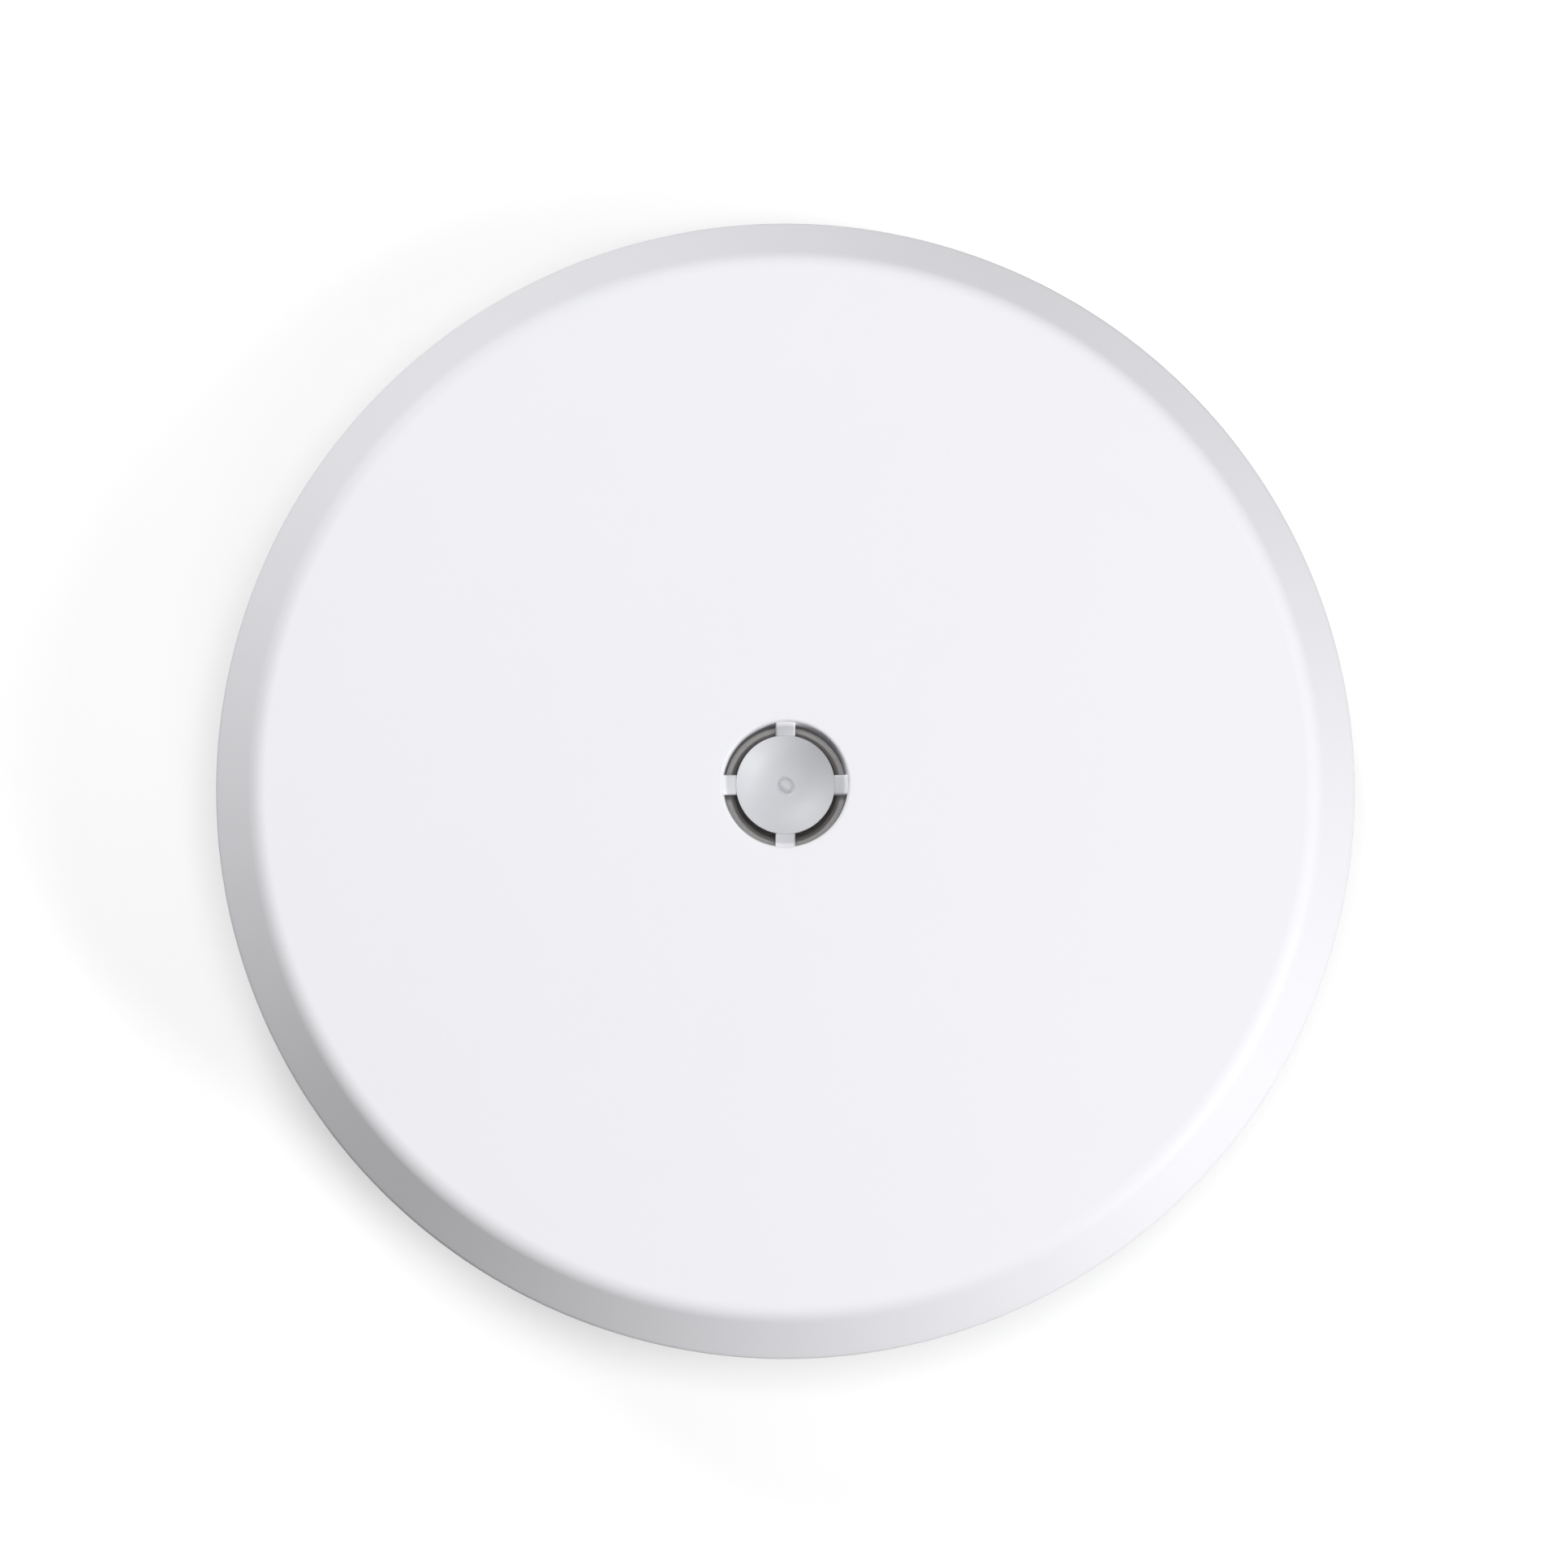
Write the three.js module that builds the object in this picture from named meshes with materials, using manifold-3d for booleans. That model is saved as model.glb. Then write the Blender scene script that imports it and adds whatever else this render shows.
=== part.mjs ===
// A round ceiling access point: a white moulded cover with a funnel-shaped light port at its centre, a cast
// base that carries the circuit board and the radios, and the stamped plate that holds it on a ceiling.
// Millimetres. The plate's ceiling side is z = 0 and +Z points into the room, out of the cover's face.
import * as THREE from "three";
import { mergeVertices } from "three/addons/utils/BufferGeometryUtils.js";
import Module from "manifold-3d";

const wasm = await Module();
wasm.setup();

// ---------------------------------------------------------------- driving dimensions

const DIAMETER = 160;
const HEIGHT = 32;
const ROUND_STEPS = 64; // facets round the large turned pieces
const PORT_STEPS = 32; // facets round the funnel, the cup and its gasket
const SMALL_STEPS = 16; // facets round screws, posts and studs
const FIT = 0.05; // play between pieces that are pressed or stacked together

// Cover: a slightly crowned face, a fillet, a bevel and a short upright rim.
const COVER = {
  wall: 2.2,
  rimBottom: 20.6,
  bevelAngle: 49,
  faceRadius: 72.6,
  crown: 0.5,
  filletRadius: 3.5,
};

// Light port at the cover's centre: a rounded bore, four bridges and a shallow funnel.
const PORT = {
  boreRadius: 8.8,
  lipRadius: 0.4,
  boreEndRadius: 8.5,
  boreEnd: 26.6,
  tubeRadius: 9.9,
  funnelRadius: 6.9,
  funnelDrop: 1.6, // from the face to the funnel's rim
  funnelDepth: 2.8,
  funnelWall: 1.4,
  bridgeWidth: 2.75,
  bridgeCount: 4,
};

// Base: a cast tray with a cable bay sunk into its ceiling side.
const BASE = {
  rear: 6,
  floor: 2.2,
  rearRadius: 67.5,
  shoulderRadius: 78.6,
  shoulder: 20,
  lipRadius: 77.4,
  lipTop: 23,
  wall: 2.2,
};
const BAY = { halfWidth: 17, near: 36, far: 58, top: 26.2, wall: 2, roof: 1.6 };

// Circuit board, parallel to the floor of the base.
const BOARD = { bottom: 12.5, thickness: 1.6, radius: 58.5 };
const BOARD_TOP = BOARD.bottom + BOARD.thickness;

// Stamped ceiling plate: a foot ring on the ceiling and a raised middle with keyhole slots.
const PLATE = { sheet: 1.5, raised: 3.4, footInner: 50, footOuter: 56, notchHalf: 17, notchStart: 12 };

// Bayonet studs under the base, and how far the base turns on the plate to let go.
const STUD = { orbit: 42, shank: 1.6, head: 3.6, headBottom: 1.2, headTop: 2.7, top: 9.8 };
const STUD_ANGLES = [30, 150, 270];
const RELEASE_ANGLE = 15;

// Latch: a leaf on the plate whose bump sits in a square pocket of the base.
const LATCH = {
  orbit: 36,
  angle: 232,
  length: 26,
  width: 8,
  sheet: 0.4,
  pocket: 9,
  pocketDepth: 0.9,
  bump: 1.1,
  rivet: 1.5,
};

// Fasteners.
const HOUSING_SCREW = { orbit: 63, shank: 1.2, head: 2.8, headBottom: 6.3, headTop: 8.3, top: 18 };
const HOUSING_SCREW_ANGLES = [45, 135, 225, 315];
const HOUSING_POST = { radius: 3, bottom: 12.1, pilot: 1.3, pilotTop: 19 };
const HOUSING_BOSS = { radius: 3.7, top: 12, hole: 1.7, counterbore: 3.1, counterboreTop: 8.35 };
const BOARD_SCREW = { orbit: 53, shank: 1, head: 2.2, bottom: 9.4, headHeight: 1.6 };
const BOARD_SCREW_ANGLES = [15, 165, 225, 315];
const STANDOFF = { radius: 3, hole: 1.05, holeBottom: 9 };

// Network jack: a metal shell round a plastic insert that takes the plug.
const JACK = { width: 16, height: 11.6, depth: 21.3, shell: 0.3 };
const PLUG = { width: 11.9, height: 7.2, depth: 12.5, floor: 2, tabWidth: 6.2, tabHeight: 1.4 };

// Shield cans on the board's underside, each over one or two chips, with its cooling pads.
const CAN = { bottom: 10.2, sheet: 0.25 };
const PEDESTAL_TOP = 9.2;
const CANS = [
  { x: -16, y: -20, width: 34, depth: 30, pad: 24 },
  { x: 22, y: -22, width: 26, depth: 26, pad: 20 },
  { x: 24, y: 8, width: 22, depth: 22, pad: 18 },
];

// Reset button in the wall of the cable bay.
const RESET = { x: 12.6, z: 19, radius: 1.2, recess: 0.5, flange: 1.9, hole: 1.4, travel: 0.5 };

// ---------------------------------------------------------------- finishes

const finish = (color, roughness, metalness = 0) => ({ color, roughness, metalness });
const FINISH = {
  whitePlastic: finish(0xf1f1f5, 0.45),
  whitePaint: finish(0xe9eaec, 0.5),
  zinc: finish(0xb9bcc0, 0.35, 1),
  springSteel: finish(0x9fa3a8, 0.3, 1),
  screwSteel: finish(0xa9abae, 0.3, 1),
  boardGreen: finish(0x1e5b38, 0.5),
  chipBlack: finish(0x1b1c1e, 0.6),
  canTin: finish(0xc3c5c6, 0.28, 1),
  padGrey: finish(0x8f9aa8, 0.9),
  jackShell: finish(0xc8c9cb, 0.25, 1),
  jackPlastic: finish(0x17181a, 0.55),
  ferrite: finish(0x2b2c2f, 0.7),
  sleeve: finish(0x22252c, 0.35),
  antennaTin: finish(0xcfc7b0, 0.3, 1),
  ledLens: finish(0xf4f1dc, 0.2),
  cupWhite: finish(0xf6f6f6, 0.3),
  foam: finish(0x26272a, 0.95),
  buttonGrey: finish(0x3b3d41, 0.5),
};

// ---------------------------------------------------------------- geometry helpers

const radians = THREE.MathUtils.degToRad;

/** A point on a circle about the Z axis, at an angle in degrees from +X. */
const polar = (radius, degrees) => [
  radius * Math.cos(radians(degrees)),
  radius * Math.sin(radians(degrees)),
];

/** The geometry with only its positions, shared vertices merged and its faces turned outwards. */
function closed(geometry) {
  const plain = geometry.clone();
  plain.deleteAttribute("normal");
  plain.deleteAttribute("uv");
  const merged = mergeVertices(plain, 1e-4);
  const p = merged.getAttribute("position");
  const index = Array.from(merged.index.array);
  const corner = [new THREE.Vector3(), new THREE.Vector3(), new THREE.Vector3()];
  const kept = [];
  let volume = 0;
  for (let i = 0; i < index.length; i += 3) {
    const [a, b, c] = [index[i], index[i + 1], index[i + 2]];
    if (a === b || b === c || c === a) continue;
    [a, b, c].forEach((v, k) => corner[k].fromBufferAttribute(p, v));
    volume += corner[0].dot(corner[1].cross(corner[2]));
    kept.push(a, b, c);
  }
  if (volume < 0) {
    for (let i = 0; i < kept.length; i += 3) [kept[i], kept[i + 1]] = [kept[i + 1], kept[i]];
  }
  merged.setIndex(kept);
  return merged;
}

/** A closed geometry as a solid that can be cut and joined. */
function solid(geometry) {
  const g = closed(geometry);
  return new wasm.Manifold(
    new wasm.Mesh({
      numProp: 3,
      vertProperties: new Float32Array(g.getAttribute("position").array),
      triVerts: new Uint32Array(g.index.array),
    }),
  );
}

/** A solid's surface as a geometry. */
function surface(body) {
  const mesh = body.getMesh();
  const g = new THREE.BufferGeometry();
  g.setAttribute("position", new THREE.BufferAttribute(new Float32Array(mesh.vertProperties), 3));
  g.setIndex(new THREE.BufferAttribute(new Uint32Array(mesh.triVerts), 1));
  g.computeVertexNormals();
  return g;
}

const join = (first, ...rest) => rest.reduce((body, next) => body.add(next), first);
const cut = (first, ...rest) => rest.reduce((body, next) => body.subtract(next), first);

/** A closed profile of [radius, z] points turned about the Z axis. */
function turned(profile, steps = ROUND_STEPS) {
  const points = profile.map(([r, z]) => new THREE.Vector2(r, z));
  const first = points[0];
  if (first.x > 0) points.push(first.clone());
  return solid(new THREE.LatheGeometry(points, steps).rotateX(Math.PI / 2));
}

/** An upright cylinder between two heights. */
function column(x, y, radius, bottom, top, steps = SMALL_STEPS) {
  const g = new THREE.CylinderGeometry(radius, radius, top - bottom, steps).rotateX(Math.PI / 2);
  return solid(g.translate(x, y, (bottom + top) / 2));
}

/** A box between two corners. */
function block([x0, y0, z0], [x1, y1, z1]) {
  const g = new THREE.BoxGeometry(x1 - x0, y1 - y0, z1 - z0);
  return solid(g.translate((x0 + x1) / 2, (y0 + y1) / 2, (z0 + z1) / 2));
}

/** An outline in X and Y raised from one height to another. */
function raised(shape, bottom, top, curveSegments = 8) {
  const g = new THREE.ExtrudeGeometry(shape, {
    depth: top - bottom,
    bevelEnabled: false,
    curveSegments,
  });
  return solid(g.translate(0, 0, bottom));
}

/** A rectangle with rounded corners, centred on x, y. */
function roundedRectangle(x, y, width, depth, radius) {
  const [w, d] = [width / 2, depth / 2];
  const s = new THREE.Shape();
  s.absarc(x + w - radius, y + d - radius, radius, 0, Math.PI / 2);
  s.absarc(x - w + radius, y + d - radius, radius, Math.PI / 2, Math.PI);
  s.absarc(x - w + radius, y - d + radius, radius, Math.PI, Math.PI * 1.5);
  s.absarc(x + w - radius, y - d + radius, radius, Math.PI * 1.5, Math.PI * 2);
  s.closePath();
  return s;
}

/** An arc-shaped slot about the Z axis, with round ends. */
function arcSlot(orbit, halfWidth, from, to) {
  const [a, b] = [radians(from), radians(to)];
  const s = new THREE.Shape();
  s.absarc(0, 0, orbit + halfWidth, a, b, false);
  s.absarc(...polar(orbit, to), halfWidth, b, b + Math.PI, false);
  s.absarc(0, 0, orbit - halfWidth, b, a, true);
  s.absarc(...polar(orbit, from), halfWidth, a + Math.PI, a + 2 * Math.PI, false);
  s.closePath();
  return s;
}

/** Points of an arc in the profile plane, angles in degrees. */
function arc(centreR, centreZ, radius, from, to, steps) {
  return Array.from({ length: steps + 1 }, (_, i) => {
    const a = radians(from + ((to - from) * i) / steps);
    return [centreR + radius * Math.cos(a), centreZ + radius * Math.sin(a)];
  });
}

/** Height of the cover's crowned face at a radius. */
const faceHeight = (r) => HEIGHT - COVER.crown * (r / COVER.faceRadius) ** 2;

// ---------------------------------------------------------------- cover

/** The cover's shell as a turned profile: bore, crowned face, fillet, bevel and rim, then back inside. */
function coverShell() {
  const { wall, rimBottom, bevelAngle, faceRadius, crown, filletRadius } = COVER;
  const { boreRadius, lipRadius, boreEndRadius, boreEnd, tubeRadius } = PORT;
  const rimRadius = DIAMETER / 2;
  const faceSlope = THREE.MathUtils.radToDeg(Math.atan((2 * crown) / faceRadius));
  const faceEdge = faceHeight(faceRadius);
  const filletR = faceRadius - filletRadius * Math.sin(radians(faceSlope));
  const filletZ = faceEdge - filletRadius * Math.cos(radians(faceSlope));
  const fillet = arc(filletR, filletZ, filletRadius, 90 - faceSlope, 90 - bevelAngle, 5);
  const [bevelR, bevelZ] = fillet[fillet.length - 1];
  const rimTop = bevelZ - (rimRadius - bevelR) * Math.tan(radians(bevelAngle));
  const lipR = boreRadius + lipRadius;
  const lipTop = faceHeight(lipR);
  const lip = arc(lipR, lipTop - lipRadius, lipRadius, 180, 90, 4);
  const face = [28, 52].map((r) => [r, faceHeight(r)]);
  const inside = [52, 28].map((r) => [r, faceHeight(r) - wall]);
  const innerRim = rimRadius - wall;
  return turned([
    [boreEndRadius, boreEnd],
    ...lip,
    ...face,
    ...fillet,
    [rimRadius, rimTop],
    [rimRadius, rimBottom],
    [innerRim, rimBottom],
    [innerRim, rimTop - 0.8],
    [bevelR - 1, bevelZ - wall],
    [faceRadius - 1, faceEdge - wall],
    ...inside,
    [tubeRadius, faceHeight(tubeRadius) - wall],
    [tubeRadius - 0.3, boreEnd],
  ]);
}

/** The funnel at the centre, its gate mark, and the bridges that carry it. */
function portFunnel() {
  const { funnelRadius, funnelDrop, funnelDepth, funnelWall, bridgeWidth, bridgeCount, boreRadius } = PORT;
  const rim = HEIGHT - funnelDrop;
  const bowl = (r) => rim - funnelDepth * (1 - (r / funnelRadius) ** 2.4);
  const radii = [1.2, 2.4, 3.6, 4.8, 5.9];
  const gate = [
    [0, bowl(0) + 0.15],
    [0.45, bowl(0) + 0.12],
    [0.8, bowl(0) - 0.12],
  ];
  const front = [...gate, ...radii.map((r) => [r, bowl(r)]), [funnelRadius, rim]];
  const back = [...radii].reverse().map((r) => [r, bowl(r) - funnelWall]);
  const outline = [...front, [funnelRadius, rim - funnelWall], ...back, [0, bowl(0) - funnelWall]];
  const funnel = turned(outline, PORT_STEPS);
  const side = new THREE.Shape();
  const [inner, outer] = [funnelRadius - 0.3, boreRadius + 0.5];
  side.moveTo(inner, rim - 1.6);
  side.lineTo(outer, rim - 1.6);
  side.lineTo(outer, rim + 0.6);
  side.lineTo(inner, rim - 0.25);
  side.closePath();
  const bridges = Array.from({ length: bridgeCount }, (_, i) => {
    const g = new THREE.ExtrudeGeometry(side, { depth: bridgeWidth, bevelEnabled: false });
    g.translate(0, 0, -bridgeWidth / 2).rotateX(Math.PI / 2);
    return solid(g.rotateZ((i * 2 * Math.PI) / bridgeCount));
  });
  return join(funnel, ...bridges);
}

function frontCover() {
  const posts = HOUSING_SCREW_ANGLES.map((angle) => {
    const [x, y] = polar(HOUSING_SCREW.orbit, angle);
    const top = faceHeight(HOUSING_SCREW.orbit) - COVER.wall + 0.5;
    return column(x, y, HOUSING_POST.radius, HOUSING_POST.bottom, top);
  });
  const pilots = HOUSING_SCREW_ANGLES.map((angle) => {
    const [x, y] = polar(HOUSING_SCREW.orbit, angle);
    return column(x, y, HOUSING_POST.pilot, HOUSING_POST.bottom - 1, HOUSING_POST.pilotTop, 12);
  });
  return cut(join(coverShell(), portFunnel(), ...posts), ...pilots);
}

// ---------------------------------------------------------------- base

/** The tray: a flat rear, a conical side, a shoulder under the cover's rim and a lip inside it. */
function baseTray() {
  const { rear, floor, rearRadius, shoulderRadius, shoulder, lipRadius, lipTop, wall } = BASE;
  return turned([
    [0, rear],
    [rearRadius - 1.5, rear],
    [rearRadius, rear + 0.6],
    [shoulderRadius, shoulder - 1.4],
    [shoulderRadius, shoulder],
    [lipRadius, shoulder],
    [lipRadius, lipTop],
    [lipRadius - 1.6, lipTop],
    [lipRadius - 1.6, shoulder - 1.2],
    [rearRadius - wall, rear + floor],
    [0, rear + floor],
  ]);
}

function baseHousing() {
  const floorTop = BASE.rear + BASE.floor;
  const outerWall = block(
    [-BAY.halfWidth - BAY.wall, BAY.near - BAY.wall, BASE.rear],
    [BAY.halfWidth + BAY.wall, BAY.far + BAY.wall, BAY.top + BAY.roof],
  );
  const baySpace = raised(
    roundedRectangle(0, (BAY.near + BAY.far) / 2, 2 * BAY.halfWidth, BAY.far - BAY.near, 1.5),
    BASE.rear - 1,
    BAY.top,
    3,
  );
  const jackWindow = block(
    [-JACK.width / 2 - 0.2, BAY.near - BAY.wall - 1, BOARD_TOP - 0.3],
    [JACK.width / 2 + 0.2, BAY.near + 1, BOARD_TOP + JACK.height + 0.2],
  );
  const resetHole = solid(
    new THREE.CylinderGeometry(RESET.hole, RESET.hole, BAY.wall + 2, 16).translate(
      RESET.x,
      BAY.near - BAY.wall / 2,
      RESET.z,
    ),
  );
  const boardLedge = block(
    [-BAY.halfWidth - BAY.wall + 0.5, BAY.near - BAY.wall - 0.4, BOARD.bottom - 0.2],
    [BAY.halfWidth + BAY.wall - 0.5, BAY.near - BAY.wall + 0.01, BOARD_TOP + 0.2],
  );
  const studBosses = STUD_ANGLES.map((angle) => column(...polar(STUD.orbit, angle), 4, BASE.rear, 10));
  const studHoles = STUD_ANGLES.map((angle) =>
    column(...polar(STUD.orbit, angle), STUD.shank + FIT, BASE.rear - 1, STUD.top + 0.1, 16),
  );
  const pedestals = CANS.map(({ x, y, pad }) => {
    const half = pad / 2;
    return block([x - half, y - half, BASE.rear], [x + half, y + half, PEDESTAL_TOP]);
  });
  const standoffs = BOARD_SCREW_ANGLES.map((angle) =>
    column(...polar(BOARD_SCREW.orbit, angle), STANDOFF.radius, floorTop - 0.5, BOARD.bottom - FIT),
  );
  const standoffHoles = BOARD_SCREW_ANGLES.map((angle) =>
    column(...polar(BOARD_SCREW.orbit, angle), STANDOFF.hole, STANDOFF.holeBottom, BOARD.bottom + 1, 12),
  );
  const bosses = HOUSING_SCREW_ANGLES.map((angle) =>
    column(...polar(HOUSING_SCREW.orbit, angle), HOUSING_BOSS.radius, BASE.rear + 0.5, HOUSING_BOSS.top),
  );
  const holes = HOUSING_SCREW_ANGLES.flatMap((angle) => {
    const centre = polar(HOUSING_SCREW.orbit, angle);
    return [
      column(...centre, HOUSING_BOSS.hole, BASE.rear, HOUSING_BOSS.top + 1, 16),
      column(...centre, HOUSING_BOSS.counterbore, BASE.rear - 1, HOUSING_BOSS.counterboreTop),
    ];
  });
  const detentPocket = raised(
    roundedRectangle(...polar(LATCH.orbit, LATCH.angle), LATCH.pocket, LATCH.pocket, 1.5),
    BASE.rear - 1,
    BASE.rear + LATCH.pocketDepth,
    4,
  );
  return cut(
    join(baseTray(), outerWall, ...studBosses, ...pedestals, ...standoffs, ...bosses),
    baySpace,
    jackWindow,
    resetHole,
    boardLedge,
    detentPocket,
    ...studHoles,
    ...standoffHoles,
    ...holes,
  );
}

function bayonetStud(angle) {
  const [x, y] = polar(STUD.orbit, angle);
  const shoulder = column(x, y, 2.6, BASE.rear - 0.8, BASE.rear - FIT);
  return join(
    column(x, y, STUD.head, STUD.headBottom, STUD.headTop),
    column(x, y, STUD.shank, STUD.headTop - 0.5, STUD.top),
    shoulder,
  );
}

// ---------------------------------------------------------------- ceiling plate and its latch

function mountingPlate() {
  const { sheet, raised: low, footInner, footOuter, notchHalf, notchStart } = PLATE;
  const pan = turned([
    [0, low],
    [footInner - 2.2, low],
    [footInner - 0.4, 0],
    [footOuter, 0],
    [footOuter, sheet],
    [footInner + 0.8, sheet],
    [footInner - 1, low + sheet],
    [0, low + sheet],
  ]);
  const notch = raised(
    roundedRectangle(0, notchStart + 30, 2 * notchHalf, 60, 5),
    -1,
    low + sheet + 1,
    4,
  );
  const keyholes = STUD_ANGLES.flatMap((angle) => [
    raised(arcSlot(STUD.orbit, STUD.shank + 0.5, angle - 0.5, angle + RELEASE_ANGLE), 1, 6, 6),
    column(...polar(STUD.orbit, angle + RELEASE_ANGLE), STUD.head + 0.6, 1, 6),
  ]);
  const screwSlots = [200, 238, 302, 340].map((angle) =>
    raised(arcSlot(26, 2, angle - 6, angle + 6), 1, 6, 5),
  );
  const rivetHole = column(...latchRivetCentre(), LATCH.rivet + FIT, 1, 6);
  return cut(pan, notch, ...keyholes, ...screwSlots, rivetHole);
}

/** The latch lies along its own line through the detent; its fixed end is riveted to the plate. */
function latchRivetCentre() {
  const [x, y] = polar(LATCH.orbit, LATCH.angle);
  const along = radians(LATCH.angle + 90);
  const reach = LATCH.length - 7;
  return [x + reach * Math.cos(along), y + reach * Math.sin(along)];
}

/** A leaf with a raised bump near its free end, drawn from the side and given its width. */
function latchSpring() {
  const { length, width, sheet, bump, orbit, angle, rivet } = LATCH;
  const seat = PLATE.raised + PLATE.sheet + FIT;
  const top = [
    [-4.5, 0.15],
    [-2.2, 0.35],
    [-0.8, bump],
    [0.8, bump],
    [2.2, 0.35],
    [6, 0],
    [length - 3, 0],
  ];
  const side = new THREE.Shape();
  top.forEach(([x, z], i) => (i ? side.lineTo(x, z + sheet) : side.moveTo(x, z + sheet)));
  [...top].reverse().forEach(([x, z]) => side.lineTo(x, z));
  side.closePath();
  const g = new THREE.ExtrudeGeometry(side, { depth: width, bevelEnabled: false });
  g.translate(0, 0, -width / 2).rotateX(Math.PI / 2);
  const [x, y] = polar(orbit, angle);
  g.rotateZ(radians(angle + 90)).translate(x, y, seat);
  return cut(solid(g), column(...latchRivetCentre(), rivet + FIT, seat - 1, seat + 1));
}

function latchRivet() {
  const seat = PLATE.raised + PLATE.sheet + LATCH.sheet + 2 * FIT;
  const centre = latchRivetCentre();
  return join(
    column(...centre, LATCH.rivet, PLATE.raised - 0.5, seat + 0.2),
    column(...centre, 2.6, seat, seat + 0.45),
    column(...centre, 2.6, PLATE.raised - 0.7, PLATE.raised - FIT),
  );
}

// ---------------------------------------------------------------- board and what stands on it

function mainBoard() {
  const disc = column(0, 0, BOARD.radius, BOARD.bottom, BOARD_TOP, ROUND_STEPS);
  const bayCut = block(
    [-BAY.halfWidth - BAY.wall - 0.6, BAY.near - BAY.wall - 0.4, BOARD.bottom - 1],
    [BAY.halfWidth + BAY.wall + 0.6, BOARD.radius + 1, BOARD_TOP + 1],
  );
  const holes = BOARD_SCREW_ANGLES.map((angle) =>
    column(...polar(BOARD_SCREW.orbit, angle), 1.3, BOARD.bottom - 1, BOARD_TOP + 1, 16),
  );
  return cut(disc, bayCut, ...holes);
}

/** A chip under the board, or on it. */
const chip = (x, y, width, depth, bottom, top) =>
  block([x - width / 2, y - depth / 2, bottom], [x + width / 2, y + depth / 2, top]);

/** A drawn can, open towards the board. */
function shieldCan({ x, y, width, depth }) {
  const top = BOARD.bottom - FIT;
  const s = CAN.sheet;
  return cut(
    chip(x, y, width, depth, CAN.bottom, top),
    chip(x, y, width - 2 * s, depth - 2 * s, CAN.bottom + s, top + 1),
  );
}

/** The jack's shell, open towards the cable bay. */
function jackShell() {
  const { width, height, depth, shell } = JACK;
  const [front, back] = [BAY.near, BAY.near - depth];
  return cut(
    block([-width / 2, back, BOARD_TOP + FIT], [width / 2, front, BOARD_TOP + height]),
    block(
      [-width / 2 + shell, back + shell, BOARD_TOP + FIT + shell],
      [width / 2 - shell, front + 1, BOARD_TOP + height - shell],
    ),
  );
}

/** The insert: a block with the plug's opening and the step for its locking tab. */
function jackInsert() {
  const { width, height, depth, shell } = JACK;
  const gap = shell + FIT;
  const floor = BOARD_TOP + FIT + gap;
  const front = BAY.near - 0.2;
  const opening = floor + PLUG.floor;
  return cut(
    block(
      [-width / 2 + gap, BAY.near - depth + gap, floor],
      [width / 2 - gap, front, BOARD_TOP + height - gap],
    ),
    block([-PLUG.width / 2, front - PLUG.depth, opening], [PLUG.width / 2, front + 1, opening + PLUG.height]),
    block(
      [-PLUG.tabWidth / 2, front - PLUG.depth, opening - PLUG.tabHeight],
      [PLUG.tabWidth / 2, front + 1, opening + 1],
    ),
  );
}

/** A stamped inverted-F antenna: an arm on a feed leg and a shorting leg, standing on the board. */
function antenna(orbit, angle, length, height) {
  const sheet = 0.5;
  const s = new THREE.Shape();
  const half = length / 2;
  const outline = [
    [-half, 0],
    [-half + 2, 0],
    [-half + 2, height - 3],
    [-half + 6, height - 3],
    [-half + 6, 0],
    [-half + 7.6, 0],
    [-half + 7.6, height - 3],
    [half, height - 3],
    [half, height],
    [-half, height],
  ];
  outline.forEach(([x, z], i) => (i ? s.lineTo(x, z) : s.moveTo(x, z)));
  s.closePath();
  const g = new THREE.ExtrudeGeometry(s, { depth: sheet, bevelEnabled: false });
  g.translate(0, 0, -sheet / 2).rotateX(Math.PI / 2).rotateZ(radians(angle + 90));
  const [x, y] = polar(orbit, angle);
  return solid(g.translate(x, y, BOARD_TOP + FIT));
}

/** A radial capacitor: a sleeve with a crimp near its foot and a stepped top. */
function capacitor(x, y, radius, height) {
  const z = BOARD_TOP + FIT;
  const body = turned(
    [
      [0, z],
      [radius - 0.4, z],
      [radius, z + 0.5],
      [radius, z + 1.6],
      [radius - 0.5, z + 2.1],
      [radius, z + 2.6],
      [radius, z + height - 0.5],
      [radius - 0.6, z + height],
      [radius - 1, z + height - 0.3],
      [0, z + height - 0.3],
    ],
    SMALL_STEPS,
  );
  return body.translate([x, y, 0]);
}

/** A transformer: two ferrite halves round a wider wound bobbin. */
function poeTransformer(x, y) {
  const z = BOARD_TOP + FIT;
  return join(
    chip(x, y, 17, 12, z + 1.2, z + 10),
    chip(x, y, 13, 15, z, z + 3),
    chip(x, y, 11, 14.4, z + 2.5, z + 8.6),
  );
}

/** The white cup that stands on the board round the status light and meets the port. */
function lightCup() {
  const z = BOARD_TOP + FIT;
  return turned(
    [
      [3.4, z],
      [5.4, z],
      [5.4, z + 1],
      [4.6, z + 1.6],
      [8, 24.2],
      [9.6, 24.4],
      [9.6, 25.4],
      [7.4, 25.4],
      [3.6, z + 1.4],
    ],
    PORT_STEPS,
  );
}

const cupGasket = () =>
  turned(
    [
      [8.6, 25.5],
      [9.5, 25.5],
      [9.5, 26.5],
      [8.6, 26.5],
    ],
    PORT_STEPS,
  );

/** The light itself: a low case with a domed lens. */
function statusLight() {
  const z = BOARD_TOP + FIT;
  const lens = turned([[0, z], [1.5, z], ...arc(0, z + 0.7, 1.5, 0, 90, 5)], 20);
  return join(chip(0, 0, 3.5, 3.5, z, z + 0.8), lens);
}

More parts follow.
